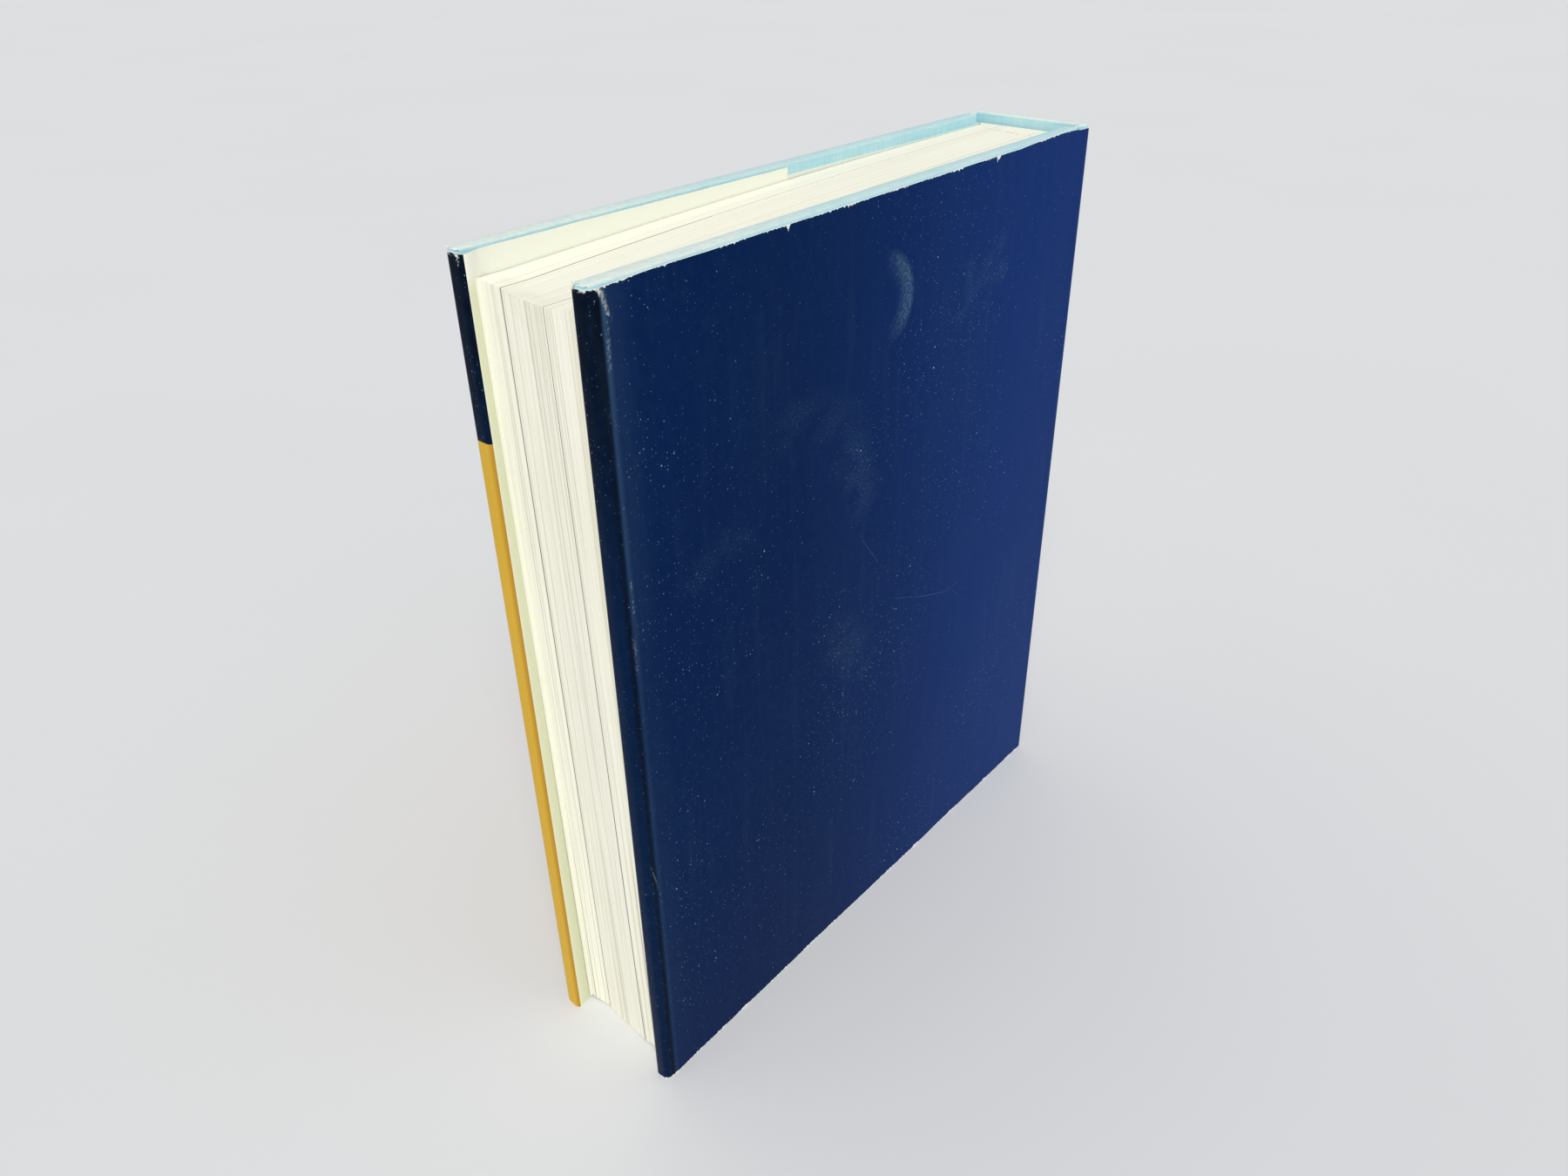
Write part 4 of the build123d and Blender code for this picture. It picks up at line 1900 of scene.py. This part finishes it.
@dataclass
class Endpapers:
    """The endpaper of one side: its pasted half with the fold in the joint, and its free half."""

    side: Side
    block: Pages
    thick: float = 0.3 * MM
    margin: float = 3 * MM
    pressed: float = 0.4 * MM
    window: tuple[Point, Point] = ((33 * MM, 187.3 * MM), (15 * MM, 225 * MM))
    slope: float = 0.8 * MM
    shoulder: float = 7.4 * MM
    free_reach: float = 197.1 * MM
    free_y: float = 17.2 * MM
    free_rows: int = 16
    rows: Triple = (60 * MM, 120 * MM, 180 * MM)
    edge_strip: float = 0.2 * MM
    edge_round: float = 0.3 * MM
    joint_depth: float = 2.6 * MM
    joint_centre: float = -1.804 * MM
    joint_start: Point = (7.2 * MM, 2.12 * MM)
    joint_end: Point = (5.43 * MM, 2.638 * MM)
    fold_end: Point = (4.757 * MM, 3.311 * MM)
    shoulder_round: float = 2.687 * MM
    bend: Point = (-3.3 * MM, -2.0 * MM)

    def pasted(self) -> Sheet:
        """The pasted half, down the edge of the board, through the joint and up the shoulder.

        Returns:
            The sheet.
        """
        depth, near, r = plan.flap_depth, plan.board_reach + self.edge_strip, self.edge_round
        far = plan.case_width - plan.board_depth - self.margin
        legs = [
            Leg((near, depth), cuts=40),
            Leg((near - r, depth - r), (near, depth - r), 3),
            Leg((near - r, self.joint_depth), cuts=2),
            Leg(self.joint_start),
            Leg(self.joint_end, (plan.hinge_reach, self.joint_centre), 4),
            Leg(self.fold_end, (self.joint_end[0], self.fold_end[1]), 5),
            Leg((self.shoulder, plan.flyleaf_depth), (self.shoulder, self.shoulder_round), 7),
        ]
        name = self.side.label + "_pasted_endpaper"
        return Sheet(name, self.side, self.margin, plan.height - self.margin, (far, depth), legs)

    def free(self) -> Sheet:
        """The free half, trimmed with the pages.

        Returns:
            The sheet.
        """
        legs = [Leg((self.shoulder, plan.flyleaf_depth), cuts=24)]
        start = (self.free_reach, plan.flyleaf_depth)
        name = self.side.label + "_free_endpaper"
        return Sheet(name, self.side, self.block.tail, self.block.head, start, legs)

    def build(self) -> tuple[Piece, Piece]:
        """The half pasted down between the turn-ins, and the half that hangs beside the pages."""
        return self.build_pasted(), self.build_free()

    def build_pasted(self) -> Piece:
        """Fold the pasted half and press it down between the turn-ins.

        Returns:
            The pasted half.
        """
        sheet = self.pasted()
        paper = sheet.fold()
        self.press(paper)
        self.lay(paper, sheet, inside=True)
        thicken(paper, self.thick)
        return paper

    def build_free(self) -> Piece:
        """Hang the free half beside the pages, trimmed with them.

        Returns:
            The free half.
        """
        sheet = self.free()
        paper = sheet.fold()
        step = (sheet.high - sheet.low) / self.free_rows
        cut_levels(paper, [sheet.low + row * step for row in range(1, self.free_rows)])
        self.lay(paper, sheet, inside=False)
        with editing(paper):
            self.block.pull(self.side.value * self.free_y)
        thicken(paper, self.thick)
        return paper

    def lay(self, paper: Piece, sheet: Sheet, inside: bool) -> None:
        """Face a half, lay its map and turn it with its cover.

        Args:
            paper: the folded mesh.
            sheet: the sheet that it was folded from.
            inside: whether its faces look into the book.
        """
        face_outwards(paper, self.side, inside)
        sheet.lay_flat(paper)
        spread_cover(paper, self.side)

    def press(self, paper: Piece) -> None:
        """Cut the outline of the window and push the paper in to the board inside it.

        Args:
            paper: the folded mesh.
        """
        (near, far), (low, high) = self.window
        slope = self.slope
        with editing(paper):
            for reach in (near, near + slope, far - slope, far):
                slice_at((plan.spine_x - reach, 0, 0), (1, 0, 0))
        cut_levels(paper, [low, low + slope, *self.rows, high - slope, high])
        with editing(paper):
            select(
                Pick.VERTS,
                lambda vert: near + slope - TINY < plan.reach_of(vert) < far - slope + TINY
                and low + slope - TINY < vert.co.z < high - slope + TINY,
            )
            bpy.ops.transform.translate(value=(0, self.side.value * self.pressed, 0))

    def dress(self, pasted: Piece, free: Piece, finish: Shader) -> None:
        """Give both halves their paper, hang the free half on the book's body, and put the pasted half's
        place into its mesh.

        Args:
            pasted: the pasted half.
            free: the free half.
            finish: their material.
        """
        for paper in (pasted, free):
            finish.wear(paper)
        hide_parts(self.side.label + "_pastedown")
        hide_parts(self.side.label + "_flyleaf")
        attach(free, "book_body")
        origin = Vector((*plan.at(0, 0, self.side), 0))
        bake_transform(pasted)


@dataclass(frozen=True)
class Studio:
    """The pale floor, the soft key light, the pale surroundings and the camera."""

    spot: Triple = (-0.24434, -0.19965, 0.30899)
    turns: Triple = (58.447, 0.849, -48.927)
    lens: float = 27.17
    floor_reach: float = 40.0
    floor_colour: RGBA = (0.76, 0.77, 0.79, 1)
    floor_shade: float = 0.985
    floor_mottle: Grain = Grain(3, 3, (0.3, 0.7))
    sky_colour: RGBA = (0.97, 0.985, 1.0, 1)
    sky_level: float = 0.52
    seen_colour: RGBA = (0.76, 0.775, 0.80, 1)
    key_colour: Triple = (1.0, 0.985, 0.955)
    key_level: float = 2.0
    key_width: float = 28.0
    key_from: Triple = (-0.62, -0.58, 0.86)

    def build(self) -> None:
        """Set everything up."""
        self.add_camera()
        self.add_floor()
        self.add_key()
        self.add_surroundings()
        bpy.context.scene.view_settings.view_transform = "Standard"

    def add_camera(self) -> None:
        """Put the camera where the photograph was taken from."""
        data = bpy.data.cameras.new("camera")
        data.lens = self.lens
        data.clip_start = 0.01
        camera = bpy.data.objects.new("camera", data)
        camera.location = self.spot
        camera.rotation_euler = [math.radians(turn) for turn in self.turns]
        bpy.context.scene.collection.objects.link(camera)
        bpy.context.scene.camera = camera

    def add_floor(self) -> None:
        """Lay a wide pale floor."""
        bpy.ops.object.select_all(action="DESELECT")
        bpy.ops.mesh.primitive_grid_add(x_subdivisions=8, y_subdivisions=8, size=2 * self.floor_reach)
        floor = bpy.context.object
        floor.name = "floor"
        paint = Shader("floor_paint", Roughness=0.95, Specular_IOR_Level=0.05)
        darker = tuple(self.floor_shade * part for part in self.floor_colour[:3]) + (1,)
        tone = paint.mix(paint.patches(paint.place(), self.floor_mottle), self.floor_colour, darker)
        paint.set(paint.surface.inputs["Base Color"], tone)
        paint.wear(floor)

    def add_key(self) -> None:
        """Light the book from above the camera's left with one wide soft lamp, far off."""
        data = bpy.data.lights.new("key", "SUN")
        data.energy = self.key_level
        data.angle = math.radians(self.key_width)
        data.color = self.key_colour
        lamp = bpy.data.objects.new("key", data)
        lamp.rotation_euler = Vector(self.key_from).to_track_quat("Z", "Y").to_euler()
        bpy.context.scene.collection.objects.link(lamp)

    def add_surroundings(self) -> None:
        """Surround the scene with plain light, seen as the same pale tone as the floor."""
        world = bpy.data.worlds.new("surroundings")
        bpy.context.scene.world = world
        world.use_nodes = True
        nodes, links = world.node_tree.nodes, world.node_tree.links
        lighting = nodes["Background"]
        lighting.inputs["Color"].default_value = self.sky_colour
        lighting.inputs["Strength"].default_value = self.sky_level
        seen = nodes.new("ShaderNodeBackground")
        seen.inputs["Color"].default_value = self.seen_colour
        path = nodes.new("ShaderNodeLightPath")
        direct = nodes.new("ShaderNodeMath")
        direct.operation = "MAXIMUM"
        chosen = nodes.new("ShaderNodeMixShader")
        for output, socket in (
            (path.outputs["Is Camera Ray"], direct.inputs[0]),
            (path.outputs["Is Glossy Ray"], direct.inputs[1]),
            (direct.outputs[0], chosen.inputs[0]),
            (lighting.outputs[0], chosen.inputs[1]),
            (seen.outputs[0], chosen.inputs[2]),
            (chosen.outputs[0], nodes["World Output"].inputs["Surface"]),
        ):
            links.new(output, socket)


def main() -> None:
    """Build and dress every piece of the book in turn, and report each."""
    logging.basicConfig(level=logging.INFO, format="%(message)s")
    Studio().build()
    cloth_finish = CaseClothFinish().make()
    endpaper_finish = PlainPaper("endpaper", (0.90, 0.90, 0.80, 1), (0.86, 0.86, 0.74, 1)).make()
    block = Pages()
    pages = block.build()
    block.dress(pages, PageFinish(block.gap_lines).make())
    report(pages)
    for side in Side:
        jacket, cloth, papers = Jacket(side), CaseCloth(side), Endpapers(side, block)
        wrapper = jacket.build()
        jacket.dress(wrapper)
        covering = cloth.build()
        cloth.dress(covering, cloth_finish)
        pasted, free = papers.build()
        papers.dress(pasted, free, endpaper_finish)
        report(wrapper, covering, pasted, free)
    kept = {"board": GreyBoard().make(), "gauze": GluedGauze().make()}
    for name, node in frame["nodes"].items():
        for word, finish in kept.items():
            if word in name:
                finish.wear(node)
                report(node)


if __name__ == "__main__":
    main()
